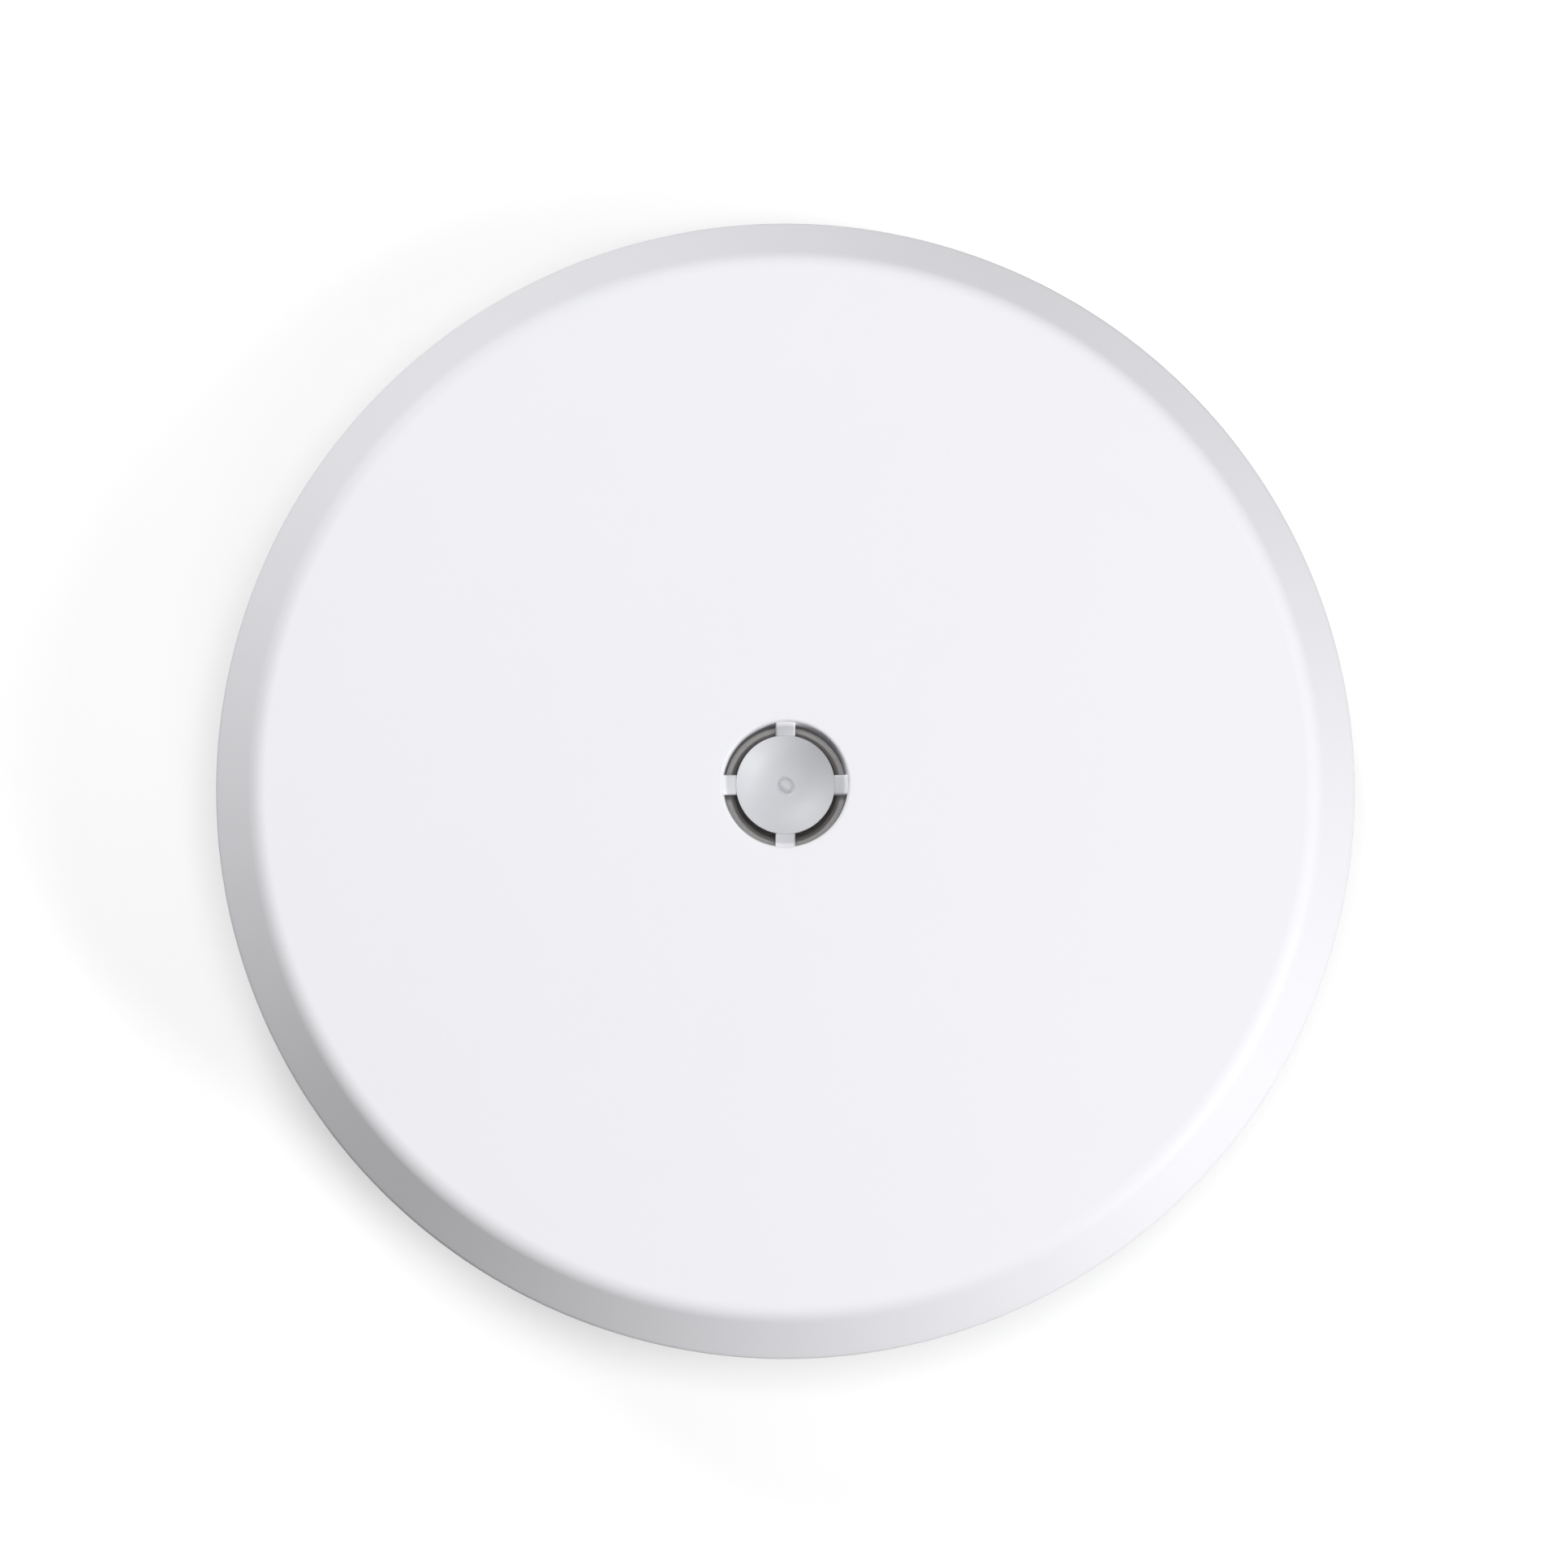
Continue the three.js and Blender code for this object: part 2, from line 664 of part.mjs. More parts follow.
// The button is a pin through the bay's wall, with a flange behind the wall and a foot on the switch.
function resetButton() {
  const along = (radius, from, to) => {
    const g = new THREE.CylinderGeometry(radius, radius, to - from, SMALL_STEPS);
    return solid(g.translate(RESET.x, (from + to) / 2, RESET.z));
  };
  const wallBack = BAY.near - BAY.wall;
  return join(
    along(RESET.radius, wallBack - 1.6, BAY.near - RESET.recess),
    along(RESET.flange, wallBack - 1.2, wallBack - 0.3),
  );
}

function resetSwitch() {
  const back = BAY.near - BAY.wall - 1.6 - RESET.travel - 0.3;
  const z = BOARD_TOP + FIT;
  return join(
    block([RESET.x - 3, back - 3.6, z], [RESET.x + 3, back, RESET.z + 2.6]),
    block([RESET.x - 3.6, back - 3.2, z], [RESET.x + 3.6, back - 0.6, z + 1.2]),
  );
}

function housingScrew(angle) {
  const [x, y] = polar(HOUSING_SCREW.orbit, angle);
  const { head, headBottom, headTop, shank, top } = HOUSING_SCREW;
  const drive = chip(x, y, 2.6, 0.6, headBottom - 1, headBottom + 1);
  const crossDrive = chip(x, y, 0.6, 2.6, headBottom - 1, headBottom + 1);
  return cut(
    join(column(x, y, head, headBottom, headTop), column(x, y, shank, headTop - 0.5, top, 12)),
    drive,
    crossDrive,
  );
}

function boardScrew(angle) {
  const [x, y] = polar(BOARD_SCREW.orbit, angle);
  const { head, headHeight, shank, bottom } = BOARD_SCREW;
  const seat = BOARD_TOP + FIT;
  const drive = chip(x, y, 2.2, 0.6, seat + headHeight - 0.8, seat + headHeight + 1);
  const crossDrive = chip(x, y, 0.6, 2.2, seat + headHeight - 0.8, seat + headHeight + 1);
  return cut(
    join(column(x, y, head, seat, seat + headHeight), column(x, y, shank, bottom, seat + 0.5, 12)),
    drive,
    crossDrive,
  );
}

// ---------------------------------------------------------------- the assembly

const accessPoint = new THREE.Group();
accessPoint.name = "ceiling_access_point";

/** Adds one named piece to the assembly. */
function piece(name, body, { color, roughness, metalness }) {
  const material = new THREE.MeshStandardMaterial({ color, roughness, metalness });
  const mesh = new THREE.Mesh(surface(body), material);
  mesh.name = name;
  accessPoint.add(mesh);
}

piece("front_cover", frontCover(), FINISH.whitePlastic);
piece("base_housing", baseHousing(), FINISH.whitePaint);
piece("mounting_plate", mountingPlate(), FINISH.zinc);
piece("latch_spring", latchSpring(), FINISH.springSteel);
piece("latch_rivet", latchRivet(), FINISH.screwSteel);
STUD_ANGLES.forEach((angle, i) => piece(`bayonet_stud_${i + 1}`, bayonetStud(angle), FINISH.screwSteel));

piece("main_board", mainBoard(), FINISH.boardGreen);
const chipTop = BOARD.bottom - FIT;
piece("processor_chip", chip(-20, -20, 19, 19, chipTop - 1.2, chipTop), FINISH.chipBlack);
piece("memory_chip", chip(-5, -20, 8, 12, chipTop - 1, chipTop), FINISH.chipBlack);
piece("radio_chip_1", chip(22, -22, 12, 12, chipTop - 1, chipTop), FINISH.chipBlack);
piece("radio_chip_2", chip(24, 8, 11, 11, chipTop - 1, chipTop), FINISH.chipBlack);
const CHIP_PADS = [
  { x: -20, y: -20, size: 17, lift: 1.2 },
  { x: 22, y: -22, size: 11, lift: 1 },
  { x: 24, y: 8, size: 10, lift: 1 },
];
CHIP_PADS.forEach(({ x, y, size, lift }, i) => {
  const body = chip(x, y, size, size, CAN.bottom + CAN.sheet + FIT, chipTop - lift - FIT);
  piece(`chip_pad_${i + 1}`, body, FINISH.padGrey);
});
CANS.forEach((can, i) => {
  piece(`shield_can_${i + 1}`, shieldCan(can), FINISH.canTin);
  const pad = chip(can.x, can.y, can.pad - 1, can.pad - 1, PEDESTAL_TOP + FIT, CAN.bottom - FIT);
  piece(`base_pad_${i + 1}`, pad, FINISH.padGrey);
});

piece("jack_shell", jackShell(), FINISH.jackShell);
piece("jack_insert", jackInsert(), FINISH.jackPlastic);
const onBoard = BOARD_TOP + FIT;
piece("line_transformer", chip(21, 19, 14, 9, onBoard, onBoard + 5.6), FINISH.chipBlack);
piece("poe_transformer", poeTransformer(-21, 22), FINISH.ferrite);
piece("capacitor_1", capacitor(-37, 9, 5, 12), FINISH.sleeve);
piece("capacitor_2", capacitor(-37, -3, 5, 12), FINISH.sleeve);
piece("power_inductor_1", chip(-22, 4, 8, 8, onBoard, onBoard + 5), FINISH.ferrite);
piece("power_inductor_2", chip(-22, -7, 8, 8, onBoard, onBoard + 5), FINISH.ferrite);
[45, 135, 222, 318].forEach((angle, i) =>
  piece(`wifi_antenna_${i + 1}`, antenna(45, angle, 26, 10), FINISH.antennaTin),
);
piece("bluetooth_antenna", antenna(50, 270, 15, 6), FINISH.antennaTin);
piece("status_light", statusLight(), FINISH.ledLens);
piece("light_cup", lightCup(), FINISH.cupWhite);
piece("cup_gasket", cupGasket(), FINISH.foam);
piece("reset_button", resetButton(), FINISH.buttonGrey);
piece("reset_switch", resetSwitch(), FINISH.chipBlack);
HOUSING_SCREW_ANGLES.forEach((angle, i) =>
  piece(`housing_screw_${i + 1}`, housingScrew(angle), FINISH.screwSteel),
);
BOARD_SCREW_ANGLES.forEach((angle, i) =>
  piece(`board_screw_${i + 1}`, boardScrew(angle), FINISH.screwSteel),
);

export default accessPoint;
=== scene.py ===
"""A round ceiling access point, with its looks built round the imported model.

Lengths are in millimetres until a surface becomes a mesh. Z = 0 is the ceiling side and +Z points out of the
cover's face. The sub-assemblies are classes, and main() builds them in order.
"""

import logging
import math
from dataclasses import dataclass
from enum import Enum
from typing import Any, Iterable, Optional, Sequence, Union

import bmesh
import bpy
import numpy as np
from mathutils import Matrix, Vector


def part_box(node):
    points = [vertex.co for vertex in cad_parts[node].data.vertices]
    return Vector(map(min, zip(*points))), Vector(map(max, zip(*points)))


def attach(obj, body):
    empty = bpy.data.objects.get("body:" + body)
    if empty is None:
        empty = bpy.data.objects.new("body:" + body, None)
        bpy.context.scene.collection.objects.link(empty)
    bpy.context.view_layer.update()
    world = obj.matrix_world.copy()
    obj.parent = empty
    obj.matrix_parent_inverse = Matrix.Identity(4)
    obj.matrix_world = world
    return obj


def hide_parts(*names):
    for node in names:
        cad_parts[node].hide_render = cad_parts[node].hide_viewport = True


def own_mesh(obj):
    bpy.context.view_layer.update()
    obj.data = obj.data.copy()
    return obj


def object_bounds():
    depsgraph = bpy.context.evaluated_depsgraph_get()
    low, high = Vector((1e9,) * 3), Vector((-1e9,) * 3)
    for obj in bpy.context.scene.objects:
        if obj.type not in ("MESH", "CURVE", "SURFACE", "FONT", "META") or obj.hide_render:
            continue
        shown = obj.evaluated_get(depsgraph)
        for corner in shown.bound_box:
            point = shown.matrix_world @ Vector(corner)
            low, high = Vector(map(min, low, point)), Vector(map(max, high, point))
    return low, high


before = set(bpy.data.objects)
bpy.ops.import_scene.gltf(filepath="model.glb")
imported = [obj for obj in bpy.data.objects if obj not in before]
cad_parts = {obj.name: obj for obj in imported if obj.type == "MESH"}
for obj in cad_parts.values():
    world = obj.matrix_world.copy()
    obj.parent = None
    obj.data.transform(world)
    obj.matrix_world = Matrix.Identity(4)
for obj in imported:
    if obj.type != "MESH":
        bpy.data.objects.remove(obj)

logging.basicConfig(level=logging.INFO, format="%(message)s")
log = logging.getLogger("access_point")

MM = 0.001
TAU = 2 * math.pi
CAD_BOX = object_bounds()
JOINED_WITHIN = 1e-6  # metres within which two vertices are one
FLAT_WITHIN = 0.01  # radians by which two faces of one plane may differ
ON_AXIS = 1e-9  # millimetres from its axis within which a profile point is on it
MOST_OF_SIDE = 0.49  # share of a side that one rounding may take up
MOST_OF_BLOCK = 0.45  # share of a block's smallest side that its edge may take up
CORNER_OVER_EDGE = 1.05  # an upright corner's radius is at least this many times the edge's

Colour = tuple[float, float, float]
Point = tuple[float, float]


class Body(Enum):
    """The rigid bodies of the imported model."""

    BRACKET = "bracket"
    ACCESS_POINT = "access_point"
    RESET_BUTTON = "reset_button"


class Cut(Enum):
    """What a boolean does with its tools."""

    REMOVE = "DIFFERENCE"
    JOIN = "UNION"


@dataclass(frozen=True)
class Extent:
    """The box of a CAD node in millimetres.

    Attributes:
        low: lowest corner.
        high: highest corner.
    """

    low: np.ndarray
    high: np.ndarray

    @classmethod
    def of(cls, node: str) -> "Extent":
        """The extent of the CAD node with that name."""
        low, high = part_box(node)
        return cls(np.array(low) / MM, np.array(high) / MM)

    @property
    def centre(self) -> np.ndarray:
        """The middle of the box."""
        return (self.low + self.high) / 2

    @property
    def size(self) -> np.ndarray:
        """The box's three sides."""
        return self.high - self.low


# ------------------------------------------------------------------ surfaces


@dataclass
class Surface:
    """A closed surface as arrays, in millimetres.

    Attributes:
        points: (n, 3) places of the vertices.
        quads: (m, 4) vertex numbers of the four-sided faces.
        triangles: (k, 3) vertex numbers of the faces round a pole.
    """

    points: np.ndarray
    quads: np.ndarray
    triangles: np.ndarray

    def moved(self, x: float = 0, y: float = 0, z: float = 0) -> "Surface":
        """The surface shifted by a distance along each axis."""
        return Surface(self.points + np.array([x, y, z]), self.quads, self.triangles)

    def turned_by(self, degrees: float) -> "Surface":
        """The surface turned about the Z axis."""
        c, s = math.cos(math.radians(degrees)), math.sin(math.radians(degrees))
        turn = np.array([[c, s, 0], [-s, c, 0], [0, 0, 1]])
        return Surface(self.points @ turn, self.quads, self.triangles)

    def tipped(self) -> "Surface":
        """The surface turned about the X axis so that its Z becomes +Y and its Y becomes -Z."""
        x, y, z = self.points.T
        return Surface(np.stack([x, z, -y], axis=1), self.quads, self.triangles)

    @staticmethod
    def joined(parts: Sequence["Surface"]) -> "Surface":
        """Several surfaces as one set of arrays, with no cutting."""
        starts = np.cumsum([0] + [len(p.points) for p in parts[:-1]])
        return Surface(
            np.concatenate([p.points for p in parts]),
            np.concatenate([p.quads + s for p, s in zip(parts, starts)]),
            np.concatenate([p.triangles + s for p, s in zip(parts, starts)]),
        )


def woven(grid: np.ndarray, start: Optional[np.ndarray], end: Optional[np.ndarray]) -> Surface:
    """Closes a grid of rings into a surface.

    Ring i and ring i + 1 are joined by quads, and each ring closes on itself. A start or end point closes
    the first or last ring with triangles; with neither, the last ring is joined to the first.

    Args:
        grid: (rings, steps, 3) points.
        start: the pole before the first ring, or None.
        end: the pole after the last ring, or None.
    Returns:
        The closed surface.
    """
    rings, steps, _ = grid.shape
    number = np.arange(rings * steps).reshape(rings, steps)
    after = np.roll(number, -1, axis=1)
    lower, upper = number[:-1], number[1:]
    if start is None and end is None:
        lower, upper = number, np.roll(number, -1, axis=0)
    after_lower, after_upper = np.roll(lower, -1, axis=1), np.roll(upper, -1, axis=1)
    quads = np.stack([lower, after_lower, after_upper, upper], -1).reshape(-1, 4)
    points, fans = [grid.reshape(-1, 3)], [np.zeros((0, 3), int)]
    for pole, first, second in ((start, after[0], number[0]), (end, number[-1], after[-1])):
        if pole is not None:
            place = np.full(steps, rings * steps + len(fans) - 1)
            points.append(np.reshape(pole, (1, 3)))
            fans.append(np.stack([place, first, second], -1))
    return Surface(np.concatenate(points), quads, np.concatenate(fans))


def spun(r: np.ndarray, z: np.ndarray, steps: int) -> np.ndarray:
    """A grid of the points (r cos a, r sin a, z) for evenly spaced angles a round the Z axis."""
    a = np.linspace(0, TAU, steps, endpoint=False)
    return np.stack([np.outer(r, np.cos(a)), np.outer(r, np.sin(a)), np.repeat(z[:, None], steps, 1)], -1)


def turned(profile: np.ndarray, steps: int, x: float = 0, y: float = 0) -> Surface:
    """Turns a profile about an upright axis.

    The surface is (x + r cos a, y + r sin a, z) for each profile point (r, z) and each angle a. A profile
    that starts or ends on the axis is closed there by a pole, and any other closes on itself. The sign of
    the profile's area says which way round it goes.

    Args:
        profile: (n, 2) points of radius and height, going round the solid either way.
        steps: points round the axis.
        x: the axis's place along X.
        y: the axis's place along Y.
    Returns:
        The closed surface.
    """
    after = np.roll(profile, -1, axis=0)
    if np.sum(profile[:, 0] * after[:, 1] - after[:, 0] * profile[:, 1]) < 0:
        profile = profile[::-1]
    touching = profile[:, 0] < ON_AXIS
    start = np.array([x, y, profile[0, 1]]) if touching[0] else None
    end = np.array([x, y, profile[-1, 1]]) if touching[-1] else None
    r, z = profile[~touching].T
    return woven(spun(r, z, steps) + np.array([x, y, 0]), start, end)


def arc(r: float, z: float, radius: float, start: float, end: float, steps: int) -> np.ndarray:
    """Points (r + radius cos a, z + radius sin a) from one angle to another, in degrees."""
    a = np.radians(np.linspace(start, end, steps + 1))
    return np.stack([r + radius * np.cos(a), z + radius * np.sin(a)], -1)


def line(a: Point, b: Point, steps: int) -> np.ndarray:
    """Evenly spaced points from a to b."""
    return np.linspace(a, b, steps + 1)


def rounded(corners: Sequence[Sequence[float]], steps: int = 5, closed: bool = False) -> np.ndarray:
    """A polyline whose corners are rounded.

    Each corner point is replaced by a curve that leaves one side and joins the next at the corner's own
    distance, following (1 - t)^2 a + 2 t (1 - t) corner + t^2 b.

    Args:
        corners: points as (r, z, rounding), with a rounding of 0 for a sharp one.
        steps: points along each rounding, less one.
        closed: whether the last point is joined to the first.
    Returns:
        (n, 2) points.
    """
    places = np.array([c[:2] for c in corners], float)
    t = np.linspace(0, 1, steps + 1)[:, None]
    made = []
    for i, (_, _, size) in enumerate(corners):
        here = places[i]
        at_end = not closed and i in (0, len(corners) - 1)
        if size <= 0 or at_end:
            made.append(here[None])
            continue
        before, behind = places[i - 1] - here, places[(i + 1) % len(corners)] - here
        a, b = (
            here + side / np.linalg.norm(side) * min(size, np.linalg.norm(side) * MOST_OF_SIDE)
            for side in (before, behind)
        )
        made.append((1 - t) ** 2 * a + 2 * t * (1 - t) * here + t**2 * b)
    return np.concatenate(made)


def outline(width: np.ndarray, depth: np.ndarray, radius: np.ndarray, steps: int = 6) -> np.ndarray:
    """Rounded rectangles, one for each entry of width, depth and radius.

    Each corner is a quarter circle about (+-(width / 2 - radius), +-(depth / 2 - radius)).

    Args:
        width: (n,) sides along X.
        depth: (n,) sides along Y.
        radius: (n,) corner radii.
        steps: points along each corner, less one.
    Returns:
        (n, 4 (steps + 1), 2) points, anticlockwise.
    """
    a = np.linspace(0, TAU / 4, steps + 1)
    angle = (a[None] + np.arange(4)[:, None] * TAU / 4).ravel()
    sign_x = np.repeat([1, -1, -1, 1], steps + 1)
    sign_y = np.repeat([1, 1, -1, -1], steps + 1)
    width, depth, radius = (np.atleast_1d(v).astype(float)[:, None] for v in (width, depth, radius))
    x = sign_x * (width / 2 - radius) + radius * np.cos(angle)
    y = sign_y * (depth / 2 - radius) + radius * np.sin(angle)
    return np.stack([x, y], -1)


def raised(flat: np.ndarray, z: np.ndarray) -> np.ndarray:
    """A grid from (n, steps, 2) outlines, each raised to its own height."""
    return np.concatenate([flat, np.broadcast_to(z[:, None, None], (*flat.shape[:2], 1))], -1)


def rounded_block(low: Sequence[float], high: Sequence[float], corner: float, edge: float) -> Surface:
    """A block with upright corners and softened top and bottom edges.

    Rounded rectangles are stacked up; near the top and bottom each is drawn in by edge (1 - cos a) while it
    rises by edge sin a.

    Args:
        low: lowest corner.
        high: highest corner.
        corner: radius of the upright corners.
        edge: radius of the top and bottom edges.
    Returns:
        The closed surface.
    """
    low, high = np.array(low, float), np.array(high, float)
    size, centre = high - low, (high + low) / 2
    edge = min(edge, size.min() * MOST_OF_BLOCK)
    corner = max(corner, edge * CORNER_OVER_EDGE)
    a = np.linspace(0, TAU / 4, 4)
    inset = np.concatenate([edge * (1 - np.sin(a)), edge * (1 - np.cos(a))])
    height = np.concatenate([low[2] + edge * (1 - np.cos(a)), high[2] - edge * (1 - np.sin(a))])
    flat = outline(size[0] - 2 * inset, size[1] - 2 * inset, corner - inset, 3)
    grid = raised(flat + centre[:2], height)
    return woven(grid, np.array([*centre[:2], low[2]]), np.array([*centre[:2], high[2]]))


def swept(path: np.ndarray, section: np.ndarray, up: Sequence[float]) -> Surface:
    """Carries a section along a path.

    At each path point the section's first coordinate goes along tangent x up, and its second along the
    direction square to both the tangent and that.

    Args:
        path: (n, 3) points.
        section: (m, 2) closed outline, anticlockwise.
        up: a direction that the path never runs along.
    Returns:
        The closed surface, with its ends closed by poles.
    """
    tangent = np.gradient(path, axis=0)
    tangent /= np.linalg.norm(tangent, axis=1, keepdims=True)
    across = np.cross(tangent, np.array(up, float))
    across /= np.linalg.norm(across, axis=1, keepdims=True)
    over = np.cross(across, tangent)
    around = section[::-1]
    grid = path[:, None] + around[None, :, :1] * across[:, None] + around[None, :, 1:] * over[:, None]
    return woven(grid, path[0], path[-1])


def polar(radius: float, degrees: float) -> np.ndarray:
    """A point on a circle about the Z axis."""
    return radius * np.array([math.cos(math.radians(degrees)), math.sin(math.radians(degrees))])


@dataclass(frozen=True)
class Ring:
    """Places on a circle about the Z axis, which several sub-assemblies share.

    Attributes:
        orbit: the circle's radius.
        angles: where the places are on it, in degrees.
    """

    orbit: float
    angles: tuple[float, ...]

    def places(self) -> list[np.ndarray]:
        """The places in order."""
        return [polar(self.orbit, a) for a in self.angles]


STUDS = Ring(42, (30, 150, 270))
BOARD_SCREWS = Ring(53, (15, 165, 225, 315))
HOUSING_SCREWS = Ring(63, (45, 135, 225, 315))


def pin(x: float, y: float, radius: float, bottom: float, top: float, steps: int = 48) -> Surface:
    """An upright round cutter or post with square ends."""
    return turned(np.array([[0, bottom], [radius, bottom], [radius, top], [0, top]]), steps, x, y)


def post(x: float, y: float, radius: float, bottom: float, top: float, edge: float = 0.35) -> Surface:
    """An upright round post with a rounded top edge."""
    profile = rounded([(0, bottom, 0), (radius, bottom, 0), (radius, top, edge), (0, top, 0)], 4)
    return turned(profile, 48, x, y)


def prism(flat: np.ndarray, low: float, high: float, middle: Sequence[float]) -> Surface:
    """An (n, 2) outline raised from one height to another and closed by fans about a middle point."""
    grid = raised(np.broadcast_to(flat, (2, *flat.shape)), np.array([low, high], float))
    return woven(grid, np.array([*middle, low]), np.array([*middle, high]))


def block(low: Sequence[float], high: Sequence[float], corner: float) -> Surface:
    """A block with rounded upright corners and square ends, for cutting with."""
    middle = (np.array(low[:2]) + np.array(high[:2])) / 2
    flat = outline(high[0] - low[0], high[1] - low[1], corner, 4)[0] + middle
    return prism(flat, low[2], high[2], middle)


def arc_slot(orbit: float, half_width: float, start: float, end: float, low: float, high: float) -> Surface:
    """A cutter for a slot that follows a circle about the Z axis, with round ends, angles in degrees."""
    outer = arc(0, 0, orbit + half_width, start, end, 24)
    inner = arc(0, 0, orbit - half_width, start, end, 24)
    cap = np.linspace(0, 180, 15)[1:-1]
    far = polar(orbit, end) + np.array([polar(half_width, end + c) for c in cap])
    near = polar(orbit, start) + np.array([polar(half_width, start + 180 + c) for c in cap])
    flat = np.concatenate([outer, far, inner[::-1], near])
    return prism(flat, low, high, polar(orbit, (start + end) / 2))


# ------------------------------------------------------------------ meshes and pieces


def mesh_of(name: str, surface: Surface) -> bpy.types.Mesh:
    """Puts a surface into a mesh, in metres."""
    mesh = bpy.data.meshes.new(name)
    faces = surface.quads.tolist() + surface.triangles.tolist()
    mesh.from_pydata((surface.points * MM).tolist(), [], faces)
    mesh.update()
    return mesh


def loose_object(name: str, surface: Surface) -> bpy.types.Object:
    """An object with that surface, in the scene."""
    obj = bpy.data.objects.new(name, mesh_of(name, surface))
    bpy.context.scene.collection.objects.link(obj)
    return obj


def settle(obj: bpy.types.Object) -> None:
    """Applies every modifier of an object to its mesh."""
    bpy.context.view_layer.update()
    finished = obj.evaluated_get(bpy.context.evaluated_depsgraph_get())
    mesh = bpy.data.meshes.new_from_object(finished)
    obj.modifiers.clear()
    old, obj.data = obj.data, mesh
    mesh.name = obj.name
    bpy.data.meshes.remove(old)


def tidy(mesh: bpy.types.Mesh) -> None:
    """Merges a mesh's doubled vertices and drops the edges and faces that have no size left."""
    work = bmesh.new()
    work.from_mesh(mesh)
    bmesh.ops.remove_doubles(work, verts=work.verts, dist=JOINED_WITHIN)
    bmesh.ops.dissolve_degenerate(work, edges=work.edges, dist=JOINED_WITHIN)
    work.to_mesh(mesh)
    work.free()


def carve(body: bpy.types.Object, tools: Iterable[Surface], cut: Cut) -> None:
    """Removes each tool's space from a body, or joins each tool to it.

    Args:
        body: the object that is cut.
        tools: closed surfaces.
        cut: what to do with them.
    """
    for tool in tools:
        cutter = loose_object("cutter", tool)
        boolean = body.modifiers.new("cut", "BOOLEAN")
        boolean.operation = cut.value
        boolean.solver = "EXACT"
        boolean.object = cutter
        settle(body)
        tidy(body.data)
        bpy.data.objects.remove(cutter)


def soften(body: bpy.types.Object, width: float, steps: int = 2, limit: float = 40) -> None:
    """Rounds the edges that turn by more than a limit in degrees, by a width in millimetres."""
    bevel = body.modifiers.new("edges", "BEVEL")
    bevel.width = width * MM
    bevel.segments = steps
    bevel.limit_method = "ANGLE"
    bevel.angle_limit = math.radians(limit)
    bevel.use_clamp_overlap = True
    bevel.harden_normals = False
    settle(body)


def refined(node: str, width: float, steps: int = 2) -> bpy.types.Object:
    """A copy of a CAD node's mesh with its doubles merged and its edges rounded by a width in millimetres."""
    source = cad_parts[node]
    copy = bpy.data.objects.new(node + "_copy", source.data.copy())
    bpy.context.scene.collection.objects.link(copy)
    tidy(copy.data)
    work = bmesh.new()
    work.from_mesh(copy.data)
    bmesh.ops.dissolve_limit(work, angle_limit=FLAT_WITHIN, verts=work.verts, edges=work.edges)
    work.to_mesh(copy.data)
    work.free()
    soften(copy, width, steps)
    return copy


@dataclass(frozen=True)
class Finish:
    """A finish that a piece can be dressed in.

    Attributes:
        name: the material's name.
        colour: its main colour.
    """

    name: str
    colour: Colour

    def material(self) -> bpy.types.Material:
        """The finish's material."""
        raise NotImplementedError


def piece(
    name: str,
    shape: Union[Surface, bpy.types.Object],
    finish: Finish,
    body: Body = Body.ACCESS_POINT,
    replaces: Sequence[str] = (),
    smooth: float = 38,
) -> bpy.types.Object:
    """Makes a shown piece, dresses it and ties it to its body.

    Args:
        name: the piece's name.
        shape: its surface, or an object already made from one.
        finish: what it is dressed in.
        body: the body that it moves with.
        replaces: CAD nodes that it stands for.
        smooth: edges that turn by more than this many degrees stay sharp.
    Returns:
        The piece.
    """
    obj = loose_object(name, shape) if isinstance(shape, Surface) else shape
    obj.name = name
    mesh = obj.data
    mesh.shade_smooth()
    mesh.set_sharp_from_angle(angle=math.radians(smooth))
    evened = obj.modifiers.new("normals", "WEIGHTED_NORMAL")
    evened.keep_sharp = True
    mesh.materials.clear()
    mesh.materials.append(finish.material())
    for node in replaces:
        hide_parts(node)
    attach(obj, body.value)
    log.info("made %s: %d faces", name, len(mesh.polygons))
    return obj


# ------------------------------------------------------------------ shader maths


@dataclass(frozen=True)
class Signal:
    """A number socket on which Python's operators add Math nodes.

    Attributes:
        tree: the material's nodes and the links between them.
        socket: the output that carries the value.
    """

    tree: "Tree"
    socket: bpy.types.NodeSocket

    def _math(self, operation: str, *values: Any) -> "Signal":
        """A Math node with these inputs."""
        return self.tree.node("ShaderNodeMath", {"operation": operation}, dict(enumerate(values)))

    def __add__(self, other: Any) -> "Signal":
        """self + other."""
        return self._math("ADD", self, other)

    def __sub__(self, other: Any) -> "Signal":
        """self - other."""
        return self._math("SUBTRACT", self, other)

    def __rsub__(self, other: Any) -> "Signal":
        """other - self."""
        return self._math("SUBTRACT", other, self)

    def __mul__(self, other: Any) -> "Signal":
        """self * other."""
        return self._math("MULTIPLY", self, other)

    def __gt__(self, other: Any) -> "Signal":
        """1 where self is above other, else 0."""
        return self._math("GREATER_THAN", self, other)

    def __lt__(self, other: Any) -> "Signal":
        """1 where self is below other, else 0."""
        return self._math("LESS_THAN", self, other)

    def fraction(self) -> "Signal":
        """What is left of self above a whole number."""
        return self._math("FRACT", self)

    def magnitude(self) -> "Signal":
        """self without its sign."""
        return self._math("ABSOLUTE", self)

    def between(self, low: float, high: float) -> "Signal":
        """0 below low and 1 above high, easing between them."""
        inputs = {"Value": self, "From Min": low, "From Max": high}
        return self.tree.node("ShaderNodeMapRange", {"interpolation_type": "SMOOTHSTEP"}, inputs)


